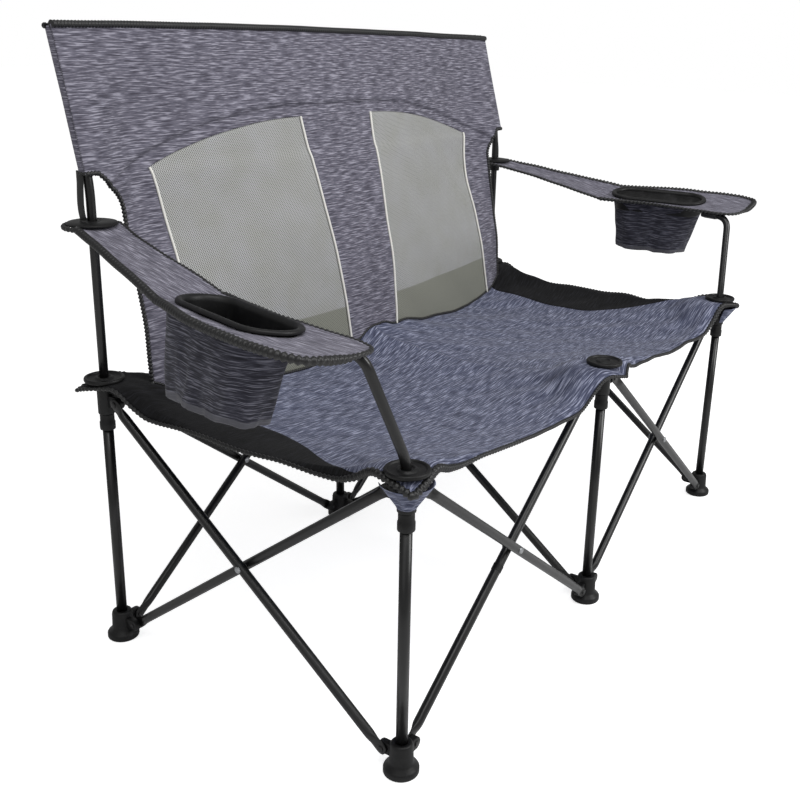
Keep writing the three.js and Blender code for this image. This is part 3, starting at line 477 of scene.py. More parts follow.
def ring_at(point, forward, side, wide, high):
    """The matrix that carries the unit circle to a ring across a route, wide along side."""
    across = forward.cross(side).normalized()
    turn = Matrix((across.cross(forward).normalized() * wide, across * high, forward)).transposed().to_4x4()
    turn.translation = point
    return turn


def swept(bm, rings, sides, capped=True):
    """Sweeps a ring through its places."""
    verts = bmesh.ops.create_circle(bm, segments=sides, radius=1, matrix=rings[0])["verts"]
    edges = list({edge for vert in verts for edge in vert.link_edges})
    if capped:
        bmesh.ops.edgeloop_fill(bm, edges=edges)
    for here, ahead in zip(rings, rings[1:]):
        grown = bmesh.ops.extrude_edge_only(bm, edges=edges)["geom"]
        verts = [part for part in grown if isinstance(part, bmesh.types.BMVert)]
        edges = [part for part in grown if isinstance(part, bmesh.types.BMEdge)]
        bmesh.ops.transform(bm, matrix=ahead @ here.inverted(), verts=verts)
    if capped:
        bmesh.ops.edgeloop_fill(bm, edges=edges)


def rod(name, rings, sides, finish, body, slot, sharp=38):
    """A piece swept through rings and closed at its ends."""
    bm = bmesh.new()
    swept(bm, rings, sides)
    face_out(bm)
    return piece(bm, name, finish, body, slot, sharp=sharp)


def route_rings(route, radii):
    """Rings along a route, with a radius for each point, carried without twist."""
    side = (route[1] - route[0]).orthogonal()
    rings = []
    for i, (point, radius) in enumerate(zip(route, radii)):
        forward = (route[min(i + 1, len(route) - 1)] - route[max(i - 1, 0)]).normalized()
        side = side - forward * side.dot(forward)
        rings.append(ring_at(point, forward, side, radius, radius))
    return rings


def bent_route(corners, bend):
    """A route whose inner corners are turned on a bend that starts that far before them."""
    route = [corners[0]]
    for before, corner, after in zip(corners, corners[1:], corners[2:]):
        start = corner + (before - corner).normalized() * bend
        end = corner + (after - corner).normalized() * bend
        for step in range(13):
            share = step / 12
            route.append(start.lerp(corner, share).lerp(corner.lerp(end, share), share))
    return route + [corners[-1]]


def even_route(route, step):
    """The same route with its points an even step apart."""
    lengths = [0]
    for here, ahead in zip(route, route[1:]):
        lengths.append(lengths[-1] + (ahead - here).length)
    count = max(round(lengths[-1] / step), 2)
    points = []
    leg = 0
    for i in range(count + 1):
        run = lengths[-1] * i / count
        while leg < len(route) - 2 and lengths[leg + 1] < run:
            leg += 1
        share = (run - lengths[leg]) / max(lengths[leg + 1] - lengths[leg], 1e-9)
        points.append(route[leg].lerp(route[leg + 1], share))
    return points


def tube(name, route, radius, body, *nodes):
    """A steel tube with an open bore."""
    bm = bmesh.new()
    swept(bm, route_rings(route, [radius] * len(route)), 32, capped=False)
    face_out(bm)
    made = piece(bm, name, STEEL, body, "black_steel", *nodes)
    wall = made.modifiers.new("wall", "SOLIDIFY")
    wall.thickness = TUBE_WALL
    wall.offset = -1
    return made


def overlock(name, route, radius, pitch, body, tight=0.26, swell=None):
    """An overlocked edge: yarn wound round the hem, ribbed once each pitch; swell(point) thickens it."""
    points = even_route(route, pitch / 4)
    radii = [radius * (1 + tight * math.cos(math.pi * i / 2)) * (swell(point) if swell else 1)
             for i, point in enumerate(points)]
    return rod(name, route_rings(points, radii), 10, OVERLOCK, body, "black_plastic", sharp=80)


def woven(bm, columns, rows, place, thread):
    """A block of cloth: a grid put in place by place(u, v), with thread(u, v) as its weave in metres."""
    weave = bm.loops.layers.uv.get("weave") or bm.loops.layers.uv.new("weave")
    verts = bmesh.ops.create_grid(bm, x_segments=columns, y_segments=rows, size=0.5)["verts"]
    shares = {vert: (vert.co.x + 0.5, vert.co.y + 0.5) for vert in verts}
    for face in {face for vert in verts for face in vert.link_faces}:
        for loop in face.loops:
            loop[weave].uv = thread(*shares[loop.vert])
    for vert, share in shares.items():
        vert.co = place(*share)


def cloth(name, blocks, thick, finish, body, slot, *nodes, drop=None):
    """A sheet sewn from blocks, with its thickness under its face; drop(centre) tells which faces are cut."""
    bm = bmesh.new()
    for block in blocks:
        woven(bm, *block)
    bmesh.ops.remove_doubles(bm, verts=bm.verts, dist=0.02 * MM)
    if drop:
        cut = [face for face in bm.faces if drop(face.calc_center_median())]
        bmesh.ops.delete(bm, geom=cut, context="FACES")
    made = piece(bm, name, finish, body, slot, *nodes, sharp=70)
    ply = made.modifiers.new("ply", "SOLIDIFY")
    ply.thickness = thick
    ply.offset = -1
    return made


# Legs, feet, collars, hubs

def lug_directions(corner):
    """Where the lugs of a foot or hub point: to each leg that it shares a face with."""
    others = [b if a == corner else a for a, b, _, _ in FACES.values() if corner in (a, b)]
    return [(LEGS[other] - LEGS[corner]).normalized() for other in others]


def lug(bm, corner, along, pin_z):
    """A lug from the axis out past its pin, with a round end."""
    reach = PIN_REACH + LUG_RADIUS
    across = along.cross(UP)
    shape = Matrix((along * reach, across * 2 * LUG_HALF, UP * 2 * LUG_RADIUS)).transposed().to_4x4()
    foot = on_axis(corner, pin_z)
    shape.translation = foot + along * reach / 2
    verts = bmesh.ops.create_cube(bm, size=1, matrix=shape)["verts"]
    tip = {vert for vert in verts if (vert.co - foot).dot(along) > reach / 2}
    ends = [edge for vert in tip for edge in vert.link_edges
            if set(edge.verts) <= tip and abs((edge.verts[0].co - edge.verts[1].co).dot(across)) > LUG_HALF]
    bmesh.ops.bevel(bm, geom=list(set(ends)), offset=LUG_RADIUS * 0.98, offset_type="OFFSET", affect="EDGES",
                    segments=8, profile=0.5, material=-1)


def moulding(name, outline, corner, pin_z, body, node):
    """A moulded foot or hub: a turned body with a lug for each face."""
    bm = bmesh.new()
    turned(bm, outline, on_axis(corner))
    for along in lug_directions(corner):
        lug(bm, corner, along, pin_z)
    face_out(bm)
    soften(bm, 0.9 * MM)
    return piece(bm, name, NYLON, body, "black_plastic", node)


for corner in LEGS:
    body = f"leg_{corner}"
    base = on_axis(corner)
    moulding(f"foot_moulding_{corner}", FOOT_OUTLINE, corner, FOOT_PIN_Z, body, f"foot_{corner}")
    tube(f"leg_tube_{corner}", [base + UP * LEG_BOTTOM_Z, base + UP * LEG_TOP_Z], LEG_RADIUS, body,
         f"leg_{corner}")
    turned_moulding(f"collar_moulding_{corner}", COLLAR_OUTLINE, base, body, f"collar_{corner}")
    moulding(f"hub_moulding_{corner}", HUB_OUTLINE, corner, HUB_PIN_Z, f"post_{corner}", f"hub_{corner}")


# Posts and arm tubes

stub = on_axis("front_middle")
tube("hub_stub_tube", [stub + UP * POST_BOTTOM_Z, stub + UP * HUB_PIN_Z], POST_RADIUS, "post_front_middle")
for side in ("left", "middle", "right"):
    foot = on_axis(f"back_{side}")
    corners = [foot + UP * POST_BOTTOM_Z, foot + UP * BEND_Z,
               foot + Vector((0, (POST_TOP_Z - BEND_Z) * LEAN, POST_TOP_Z))]
    tube(f"back_post_tube_{side}", bent_route(corners, POST_BEND), POST_RADIUS, f"post_back_{side}",
         f"back_post_{side}")
for side, sign in SIDES.items():
    foot = on_axis(f"front_{side}")
    bend, end = [foot + Vector((sign * ARM_TUBE_OUT, back,
                                arm_plane(ARM_TUBE_OUT, back - HALF) - ARM_TUBE_UNDER))
                 for back in (ARM_TUBE_BACK, ARM_TUBE_END)]
    corners = [foot + UP * POST_BOTTOM_Z, foot + UP * (FLANGE_TOP_Z + ARM_TUBE_RISE), bend, end]
    tube(f"arm_tube_{side}_bent", bent_route(corners, ARM_TUBE_BEND), POST_RADIUS, f"post_front_{side}",
         f"arm_tube_{side}")
    along = (end - bend).normalized()
    rings = [ring_at(bend.lerp(end, share), along, Vector((1, 0, 0)), wide * MM, high * MM)
             for share, wide, high in ARM_POCKET]
    pocket = rod(f"arm_tube_pocket_{side}", rings, 20, OVERLOCK, f"post_front_{side}", "black_plastic")


# Braces

def brace(name, start, end, across, carries_rivet):
    """A tube with flattened, round-ended tabs; across points from its lugs outwards."""
    along = (end - start).normalized()
    length = (end - start).length
    stations = [(run * MM, wide * MM, high * MM) for run, wide, high in BRACE_TAB]
    stations += [(length - run, wide, high) for run, wide, high in reversed(stations)]
    bm = bmesh.new()
    swept(bm, [ring_at(start + along * run, along, across, wide, high) for run, wide, high in stations], 28)
    for place in (start, end):
        seat = place - across * BRACE_OFFSET
        rings = [ring_at(seat + across * run * MM, across, along, r * MM, r * MM) for run, r in BRACE_PIN]
        swept(bm, rings, 20)
    face_out(bm)
    piece(bm, f"{name}_tube", STEEL, name, "black_steel", name)
    if carries_rivet:
        middle = (start + end) / 2
        far = 2 * BRACE_OFFSET + BRACE_RADIUS
        rivet = [(BRACE_RADIUS + 2.3 * MM, 1.6 * MM), (BRACE_RADIUS + 2 * MM, 3.6 * MM),
                 (BRACE_RADIUS + 1.2 * MM, 5 * MM), (BRACE_RADIUS - 0.4 * MM, 5.5 * MM),
                 (BRACE_RADIUS - 0.5 * MM, 3 * MM), (0.2 * MM - far, 3 * MM), (-far, 5.5 * MM),
                 (-far - 1.2 * MM, 5 * MM), (-far - 2 * MM, 2.4 * MM)]
        rings = [ring_at(middle + across * run, across, along, r, r) for run, r in rivet]
        rod(f"rivet_{name}", rings, 24, ZINC, name, "black_steel")


def pin_place(corner, other, height):
    along = (LEGS[other] - LEGS[corner]).normalized()
    return on_axis(corner, height) + along * PIN_REACH


for face, (a, b, outward, first) in FACES.items():
    for layer, lift in (("outer", 1), ("inner", -1)):
        low, high = (a, b) if layer == first else (b, a)
        across = outward * lift
        shift = across * BRACE_OFFSET
        start, end = pin_place(low, high, FOOT_PIN_Z) + shift, pin_place(high, low, HUB_PIN_Z) + shift
        brace(f"brace_{face}_{layer}", start, end, across, layer == first)
        if (face, layer) == ("front_left", "inner"):
            along = (end - start).normalized()
            route = [start.lerp(end, BAND_SHARE) + along * run * MM for run, _ in BAND_STATIONS]
            rings = route_rings(route, [radius * MM for _, radius in BAND_STATIONS])
            rod("brace_band", rings, 24, NYLON, f"brace_{face}_{layer}", "black_plastic")


# Seat

def edge_out(share):
    """How far the hem stands out past the leg axes, most at the corners."""
    return SEAT_EDGE_OUT + (SEAT_CORNER_OUT - SEAT_EDGE_OUT) * (1 - 4 * share * (1 - share)) ** 2


def hub_distance(x, y):
    return min(math.hypot(abs(x) - leg, abs(y) - HALF) for leg in (0, CELL))


def seat_height(x, y):
    """The sling's face: flat round each flange, and sagging most right of the middle of each half."""
    s = (x / CELL + (x < 0)) ** SAG_SKEW if abs(x) < CELL else 1
    r = min(max((y + HALF) / CELL, 0), 1)
    across, along = 4 * s * (1 - s), 4 * r * (1 - r)
    side = mix(RIDGE_SAG, SIDE_SAG - SIDE_SAG_LEAN * x / CELL, min(abs(x) / CELL, 1))
    sag = (FRONT_SAG * across * (1 - along) + side * along * (1 - across)
           + (FRONT_SAG + MIDDLE_SAG) * across * along)
    return FLANGE_Z - 0.3 * MM - sag * ease(hub_distance(x, y), *FLANGE_FLAT)


def seat_folds(x, y):
    """Tension folds that fan out from each hub, and soft waves where the sling hangs loose."""
    lift = 0
    for leg in (-CELL, 0, CELL):
        for row in (-HALF, HALF):
            reach = math.hypot(x - leg, y - row)
            turn = math.atan2(y - row, x - leg)
            fan = math.exp(-((reach - FAN_REACH) / FAN_SPREAD) ** 2)
            lift += FAN_HEIGHT * fan * math.cos(11 * turn + leg * 7 + row * 3)
    loose = ease(hub_distance(x, y), *LOOSE_FROM)
    slack = wander(x / 0.19, y / 0.13, 3.1) * 4.5 * MM
    slack += wander(x / 0.07 + y / 0.11, y / 0.06, 8.4) * 1.6 * MM
    drag = wander((x + 0.8 * y) / 0.06, (x - y) / 0.5, 5.2) * 4.2 * MM
    scallop = wander(x / 0.05, y / 0.3, 6.6) * 1.6 * MM * ease(abs(y), HALF - 40 * MM, HALF)
    return lift + (slack + drag * ease(x, -HALF, HALF) + scallop) * loose


def seat_point(x, y):
    """Where a flat place of the seat hangs; x is from the middle and y from the middle of the cells."""
    across = abs(x) / CELL
    side_out, end_out = edge_out((y + HALF) / CELL), edge_out(across)
    px = x * (1 + across ** 2 * side_out / CELL)
    py = y * (1 + end_out / HALF)
    out_x, out_y = max(abs(px) - CELL, 0), max(abs(py) - HALF, 0)
    if out_x > 0 and out_y > 0:
        pull = max(out_x, out_y) / math.hypot(out_x, out_y)
        px = math.copysign(CELL + out_x * pull, px)
        py = math.copysign(HALF + out_y * pull, py)
    rim = math.hypot(max(abs(px) - CELL, 0), max(abs(py) - HALF, 0))
    reach = hub_distance(px, py)
    hem = min(math.hypot(out_x / side_out, out_y / end_out), 1)
    beside = hem * ease(reach, *BESIDE_FROM) * (1 - ease(reach, *BESIDE_TO))
    droop = HEM_DROOP * (ease(rim, *HEM_RIM) + BESIDE_SHARE * beside)
    return at(px, py, seat_height(px, py) + seat_folds(px, py) - droop)


def gusset_width(y):
    return GUSSET_WIDTH * ease(y, GUSSET_TIP_Y, GUSSET_FULL_Y)


SEAT_STRIPS = {
    "seat_left_outer": (-1, HALF, CELL), "seat_left_inner": (-1, 0, HALF),
    "seat_right_inner": (1, 0, HALF), "seat_right_outer": (1, HALF, CELL),
}


def fold_seat(*pieces):
    for made in pieces:
        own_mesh(made)


for strip, (sign, near, far) in SEAT_STRIPS.items():
    def flat_place(u, v, sign=sign, near=near, far=far):
        y = mix(-HALF, HALF, v)
        reach = far - (gusset_width(y) if far == CELL else 0)
        share = u if sign > 0 else 1 - u
        return sign * mix(near, reach, share), y

    def strip_place(u, v):
        return seat_point(*flat_place(u, v))

    main = cloth(f"{strip}_sling", [(52, 96, strip_place, flat_place)], 1.6 * MM, SEAT_CLOTH, strip,
                 "seat_fabric", strip)
    trims = []
    hems = []
    if far == CELL:
        def gusset_flat(u, v, sign=sign):
            y = mix(GUSSET_TIP_Y + 6 * MM, HALF, v)
            share = u if sign > 0 else 1 - u
            return sign * mix(CELL - gusset_width(y) - GUSSET_LAP, CELL, share), y

        def gusset_place(u, v):
            return seat_point(*gusset_flat(u, v)) + UP * 0.7 * MM

        gusset = cloth(f"{strip}_gusset", [(20, 80, gusset_place, gusset_flat)], 1.4 * MM, GUSSET_CLOTH,
                       strip, "black_plastic")
        hem = [seat_point(sign * mix(near, CELL, i / 40), HALF) for i in range(41)]
        hem += [seat_point(sign * CELL, mix(HALF, -HALF, i / 80)) for i in range(1, 81)]
        hem += [seat_point(sign * mix(CELL, near, i / 40), -HALF) for i in range(1, 41)]

        def corner_swell(point, corner=at(sign * CELL, -HALF, FLANGE_Z)):
            return 1.7 - 0.7 * ease((point - corner).length, 50 * MM, 150 * MM)

        hems.append(overlock(f"{strip}_overlock", hem, 2.9 * MM, 8 * MM, strip, swell=corner_swell))
        trims.append(gusset)
    else:
        for row, end in ((-HALF, "front"), (HALF, "rear")):
            hem = [seat_point(sign * mix(near, far, i / 40), row) for i in range(41)]
            hems.append(overlock(f"{strip}_overlock_{end}", hem, 2.6 * MM, 5 * MM, strip))
    fold_seat(main, *hems, *trims)


# Corner pockets of the seat, gathered under the front outer flanges round the hubs

for side, sign in SIDES.items():
    corner = f"front_{side}"

    def pocket_place(u, v, hub=LEGS[corner], facing=math.atan2(-1, sign)):
        turn = facing + mix(-1.7, 1.7, u)
        radius = mix(13.4, 37, v ** 1.2) + 1.5 * math.cos(9 * turn) * 4 * v * (1 - v)
        return Vector((hub.x + radius * MM * math.cos(turn), hub.y + radius * MM * math.sin(turn),
                       FLANGE_Z - mix(49, 14, v) * MM))

    def pocket_thread(u, v):
        return u * POCKET_FLAT[0], v * POCKET_FLAT[1]

    pocket = cloth(f"corner_pocket_{corner}", [(40, 16, pocket_place, pocket_thread)], 0.8 * MM, SEAT_CLOTH,
                   f"post_{corner}", "seat_fabric")


# Back

def back_y(x, z):
    """The panel's face: against the posts above, forward to the seat below, bowed back between the posts."""
    below = max(SLEEVE_Z - z, 0) / (SLEEVE_Z - FLANGE_Z)
    forward = mix(BACK_FORWARD_MIDDLE, BACK_FORWARD_SIDE, (x / CELL) ** 2)
    forward *= below * (2 - below) * (1 + below) / 2
    bow = BACK_BOW * ease(abs(x), *BOW_MIDDLE) * ease(CELL - abs(x), *BOW_POST)
    bow *= ease(z, *BOW_SEAT) * ease(BACK_TOP_Z - z, *BOW_HEM)
    return HALF - BACK_SET + max(z - BEND_Z, 0) * LEAN - forward + bow


def window_top(x):
    """Height of the arch over the windows, level past their outer corners."""
    beyond = max(min(abs(x), SHOULDER_X) - WINDOW_CROWN_X, 0) / (WINDOW_CORNER_X - WINDOW_CROWN_X)
    return WINDOW_CROWN_Z - WINDOW_DROP * beyond ** 2


SHOULDER_Z = window_top(SHOULDER_X) + SEAM_ABOVE
MOUTH_LEVEL = 2 + ((SLEEVE_Z - SHOULDER_Z) / (HEM_Z - SHOULDER_Z)) ** (1 / RISE_POWER)


def back_height(x, level):
    """Height on the panel: level 0 at the seat, 1 at the window's top, 2 at the seam, 3 at the top hem."""
    foot = back_y(x, 430 * MM)
    low = seat_height(x, foot) + seat_folds(x, foot) + 1 * MM
    crown = window_top(x)
    if level <= 1:
        return mix(low, crown, level)
    if level <= 2:
        return mix(crown, crown + SEAM_ABOVE, level - 1)
    share = x / CELL
    top = HEM_Z + HEM_BOW * (1 - share * share) - HEM_LEAN * share
    top += 1.5 * MM * wander(x / 0.16, 0, 2.2)
    return mix(crown + SEAM_ABOVE, top, (level - 2) ** RISE_POWER)


def back_edge(z):
    """Half width of the panel, with a rounded cut below the sleeves."""
    rise = min(max(z - SLEEVE_Z + SLEEVE_CUT, 0) / SLEEVE_CUT, 1)
    return CELL - BACK_SIDE_INSET + (BACK_SIDE_INSET - SLEEVE_IN) * rise ** 1.8


def sleeve_out(z):
    """How far a sleeve reaches outside its post's axis: loose at the mouth and close at the top."""
    return mix(SLEEVE_MOUTH_OUT, SLEEVE_TOP_OUT, ease(z, SLEEVE_Z, HEM_Z - 60 * MM))


def back_flat(across, level):
    """A flat place: across 0 in the middle, 1 and 2 at a window's sides, 3 and 4 at a sleeve's sides."""
    t = min(level, 1)
    inner = mix(WINDOW_FOOT_X[0], WINDOW_CROWN_X, t)
    outer = (1 - t) ** 2 * WINDOW_FOOT_X[1] + 2 * t * (1 - t) * WINDOW_WAIST_X + t * t * WINDOW_CORNER_X
    edge_z = back_height(SHOULDER_X, level)
    stops = (0, inner, outer, back_edge(edge_z), CELL + sleeve_out(edge_z))
    step = min(int(abs(across)), 3)
    x = math.copysign(mix(stops[step], stops[step + 1], abs(across) - step), across)
    return x, back_height(x, level)


def back_point(across, level, inset=0):
    x, z = back_flat(across, level)
    rise = z - window_top(x) - SEAM_ABOVE
    tuck = 4.2 * MM * math.exp(-(rise / (4 * MM)) ** 2)
    tuck -= 3 * MM * math.exp(-((rise - 13 * MM) / (10 * MM)) ** 2)
    slack = wander(x / 0.17, z / 0.12, 1.7) * 3 * MM
    slack += wander((x + z) / 0.07, (x - z) / 0.3, 4.4) * 2.2 * MM
    slack *= ease(abs(z - BACK_TOP_Z), 0, 90 * MM)
    return at(x, back_y(x, z) + (tuck + slack) * ease(CELL - abs(x), -10 * MM, 60 * MM) + inset, z)


def back_block(columns, rows, left, right, low, high, inset=0):
    def spread(u, v):
        return mix(left, right, u), mix(low, high, v)
    return columns, rows, lambda u, v: back_point(*spread(u, v), inset), lambda u, v: back_flat(*spread(u, v))


BACK_BODY = "post_back_middle"


def fold_back(*pieces):
    for made in pieces:
        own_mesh(made)


columns = {(-3, -2): 14, (-2, -1): 50, (-1, 1): 28, (1, 2): 50, (2, 3): 14}
blocks = []
for (left, right), count in columns.items():
    if (left, right) not in ((-2, -1), (1, 2)):
        blocks.append(back_block(count, 64, left, right, 0, 1))
    blocks.append(back_block(count, 8, left, right, 1, 2))
    blocks.append(back_block(count, 8, left, right, 2, MOUTH_LEVEL))
    blocks.append(back_block(count, 36, left, right, MOUTH_LEVEL, 3))
for left, right in ((-4, -3), (3, 4)):
    blocks.append(back_block(6, 36, left, right, MOUTH_LEVEL, 3))
panel = cloth("back_panel_cloth", blocks, 2 * MM, BACK_CLOTH, BACK_BODY, "back_fabric", "back_panel")
back_trims = []
for side, sign in SIDES.items():
    ends = (-2, -1) if sign < 0 else (1, 2)
    net = cloth(f"back_net_{side}", [back_block(56, 64, *ends, 0, 1, 1 * MM)], 1.2 * MM, NET, BACK_BODY,
                "window_mesh", f"back_mesh_{side}")
    fold_back(net)
    for stop, kind in ((1, "inner"), (2, "outer")):
        route = [back_point(sign * stop, i / 60) - Vector((0, 1.2 * MM, 0)) for i in range(61)]
        route = even_route(route, 6 * MM)
        back_trims.append(rod(f"window_piping_{side}_{kind}", route_rings(route, [2.1 * MM] * len(route)), 10,
                              PIPING, BACK_BODY, "window_mesh"))
    hem = [back_point(sign * 3, i / 90 * MOUTH_LEVEL) for i in range(91)]
    hem += [back_point(sign * (3 + i / 6), MOUTH_LEVEL) for i in range(1, 7)]
    back_trims.append(overlock(f"back_side_overlock_{side}", hem, 3.4 * MM, 6 * MM, BACK_BODY))
top = [back_point(-4 + 8 * i / 160, 3) for i in range(161)]
back_trims.append(overlock("back_top_overlock", top, 5.4 * MM, 6 * MM, BACK_BODY, tight=0.1))
foot = [back_point(-3 + 6 * i / 160, 0) + UP * 1.5 * MM for i in range(161)]
back_trims.append(overlock("back_foot_overlock", foot, 2.2 * MM, 5 * MM, BACK_BODY))
fold_back(panel, *back_trims)


# Sleeves and straps of the outer posts, and the arms' bindings round them

def sleeve_point(sign, turn, z):
    """The sleeve's skin round a leaning post, behind the panel's face."""
    wide = sleeve_out(z) + 0.2 * MM
    c, s = math.cos(turn), math.sin(turn)
    x = math.copysign(abs(c) ** 0.7, c) * wide
    y = math.copysign(abs(s) ** 0.7, s) * SLEEVE_DEEP
    crease = wander(sign * 3 + c, s, z / 0.05) * 0.5 * MM
    centre = HALF + max(z - BEND_Z, 0) * LEAN + 0.7 * MM
    return at(sign * (CELL - 0.5 * MM) + x * (1 + crease / wide), centre + y * (1 + crease / SLEEVE_DEEP), z)


for side, sign in SIDES.items():
    body = f"post_back_{side}"
    post = LEGS[f"back_{side}"]

    def sleeve_place(u, v, sign=sign):
        return sleeve_point(sign, 2 * math.pi * u, mix(SLEEVE_Z, HEM_Z, v))

    def sleeve_thread(u, v):
        return u * SLEEVE_ROUND, mix(SLEEVE_Z, HEM_Z, v)

    sleeve = cloth(f"post_sleeve_{side}", [(48, 40, sleeve_place, sleeve_thread)], 1.2 * MM, BACK_CLOTH, body,
                   "back_fabric")
    mouth = [sleeve_point(sign, 2 * math.pi * i / 48, SLEEVE_Z) for i in range(49)]
    rim = overlock(f"sleeve_mouth_overlock_{side}", mouth, 2.4 * MM, 5 * MM, body)
    crown = [sleeve_point(sign, math.pi * i / 24, HEM_Z) for i in range(25)]
    cap = overlock(f"sleeve_top_overlock_{side}", crown, 3.6 * MM, 6 * MM, body)

    loop = [Vector((post.x + sign * out * MM, post.y + back * MM, z * MM)) for out, back, z in STRAP_ROUTE]
    loop = even_route(bent_route(loop, 5 * MM), 4 * MM)
    rings = [ring_at(point, (ahead - point).normalized(), Vector((0, 1, 0)), 8 * MM, 0.9 * MM)
             for point, ahead in zip(loop, loop[1:])]
    strap = rod(f"post_strap_{side}", rings, 16, OVERLOCK, body, "black_plastic")

    turns = [mix(-0.35, math.pi + 0.35, i / 40) for i in range(41)]
    wrap = [Vector((post.x + sign * ARM_END_RADIUS * math.cos(turn), post.y + ARM_END_RADIUS * math.sin(turn),
                    ARM_REAR_Z - 2 * MM)) for turn in turns]
    overlock(f"arm_end_overlock_{side}", wrap, 3.4 * MM, ARM_PITCH, body)


# Arms

def arm_flat(y, across):
    """How far a place lies outside the leg axis; across is -1 at the arm's inner edge and 1 at its outer."""
    return mix(smooth(ARM_EDGES, y, 1), smooth(ARM_EDGES, y, 2), (across + 1) / 2)


def arm_point(sign, y, across):
    """The arm's face: sloping from the disc to the tilted front half, with a shallow trough."""
    out = arm_flat(y, across)
    rear = max(y - ARM_CREASE_Y, 0) / (ARM_REAR_Y - ARM_CREASE_Y)
    z = mix(arm_plane(out, y), ARM_REAR_Z, rear)
    loose = 1 - ease(y, ARM_REAR_Y - 60 * MM, ARM_REAR_Y)
    trough = 3 * MM * (1 - across * across)
    wave = wander(y / 0.06, across * 1.3, sign * 2.0) * 1.5 * MM
    return at(sign * (CELL + out), y, z - (trough + wave) * loose)


def arm_hem(sign, start, end, across, count):
    """Points along an edge of the arm, in the middle of its cloth."""
    places = [mix(start, end, i / count) for i in range(count + 1)]
    return [arm_point(sign, y, across) - UP * ARM_THICK / 2 for y in places]


def cup_axes(sign):
    """The matrix from the cup's own axes to the frame: Y along the arm, Z square to its fabric."""
    square = Vector((-sign * ARM_TILT_OUT, -ARM_TILT_BACK, 1)).normalized()
    along = square.cross(Vector((math.cos(CUP_TURN), sign * math.sin(CUP_TURN), 0))).normalized()
    axes = Matrix((along.cross(square), along, square)).transposed().to_4x4()
    axes.translation = at(sign * (CELL + CUP_OUT), CUP_Y, arm_plane(CUP_OUT, CUP_Y))
    return axes


CUPS = {sign: cup_axes(sign) for sign in SIDES.values()}


def oval(length, width, share):
    """A place on an oval with straight sides and round ends, long along Y, at a share of the way round."""
    straight, radius = length - width, width / 2
    half = straight + math.pi * radius
    flip = 1 if share % 1 < 0.5 else -1
    run = share % 0.5 * 2 * half
    if run < straight:
        return flip * radius, flip * (run - straight / 2)
    turn = (run - straight) / radius
    return flip * radius * math.cos(turn), flip * (straight / 2 + radius * math.sin(turn))


def cup_point(sign, x, y, z):
    return CUPS[sign] @ Vector((x, y, z))


def over_cup(sign):
    """Tells whether a place on the arm is inside the cup ring's hole."""
    to_cup = CUPS[sign].inverted()

    def inside(point):
        x, y, _ = to_cup @ point
        straight = (CUP_LENGTH - CUP_WIDTH) / 2
        return math.hypot(x, max(abs(y) - straight, 0)) < CUP_WIDTH / 2 - 6 * MM
    return inside


def oval_ring(bm, sign, length, width, z):
    """One closed oval of edges, ready to be bridged."""
    verts = bmesh.ops.create_circle(bm, segments=96, radius=1)["verts"]
    for i, vert in enumerate(verts):
        vert.co = cup_point(sign, *oval(length, width, i / 96), z)
    return list({edge for vert in verts for edge in vert.link_edges})


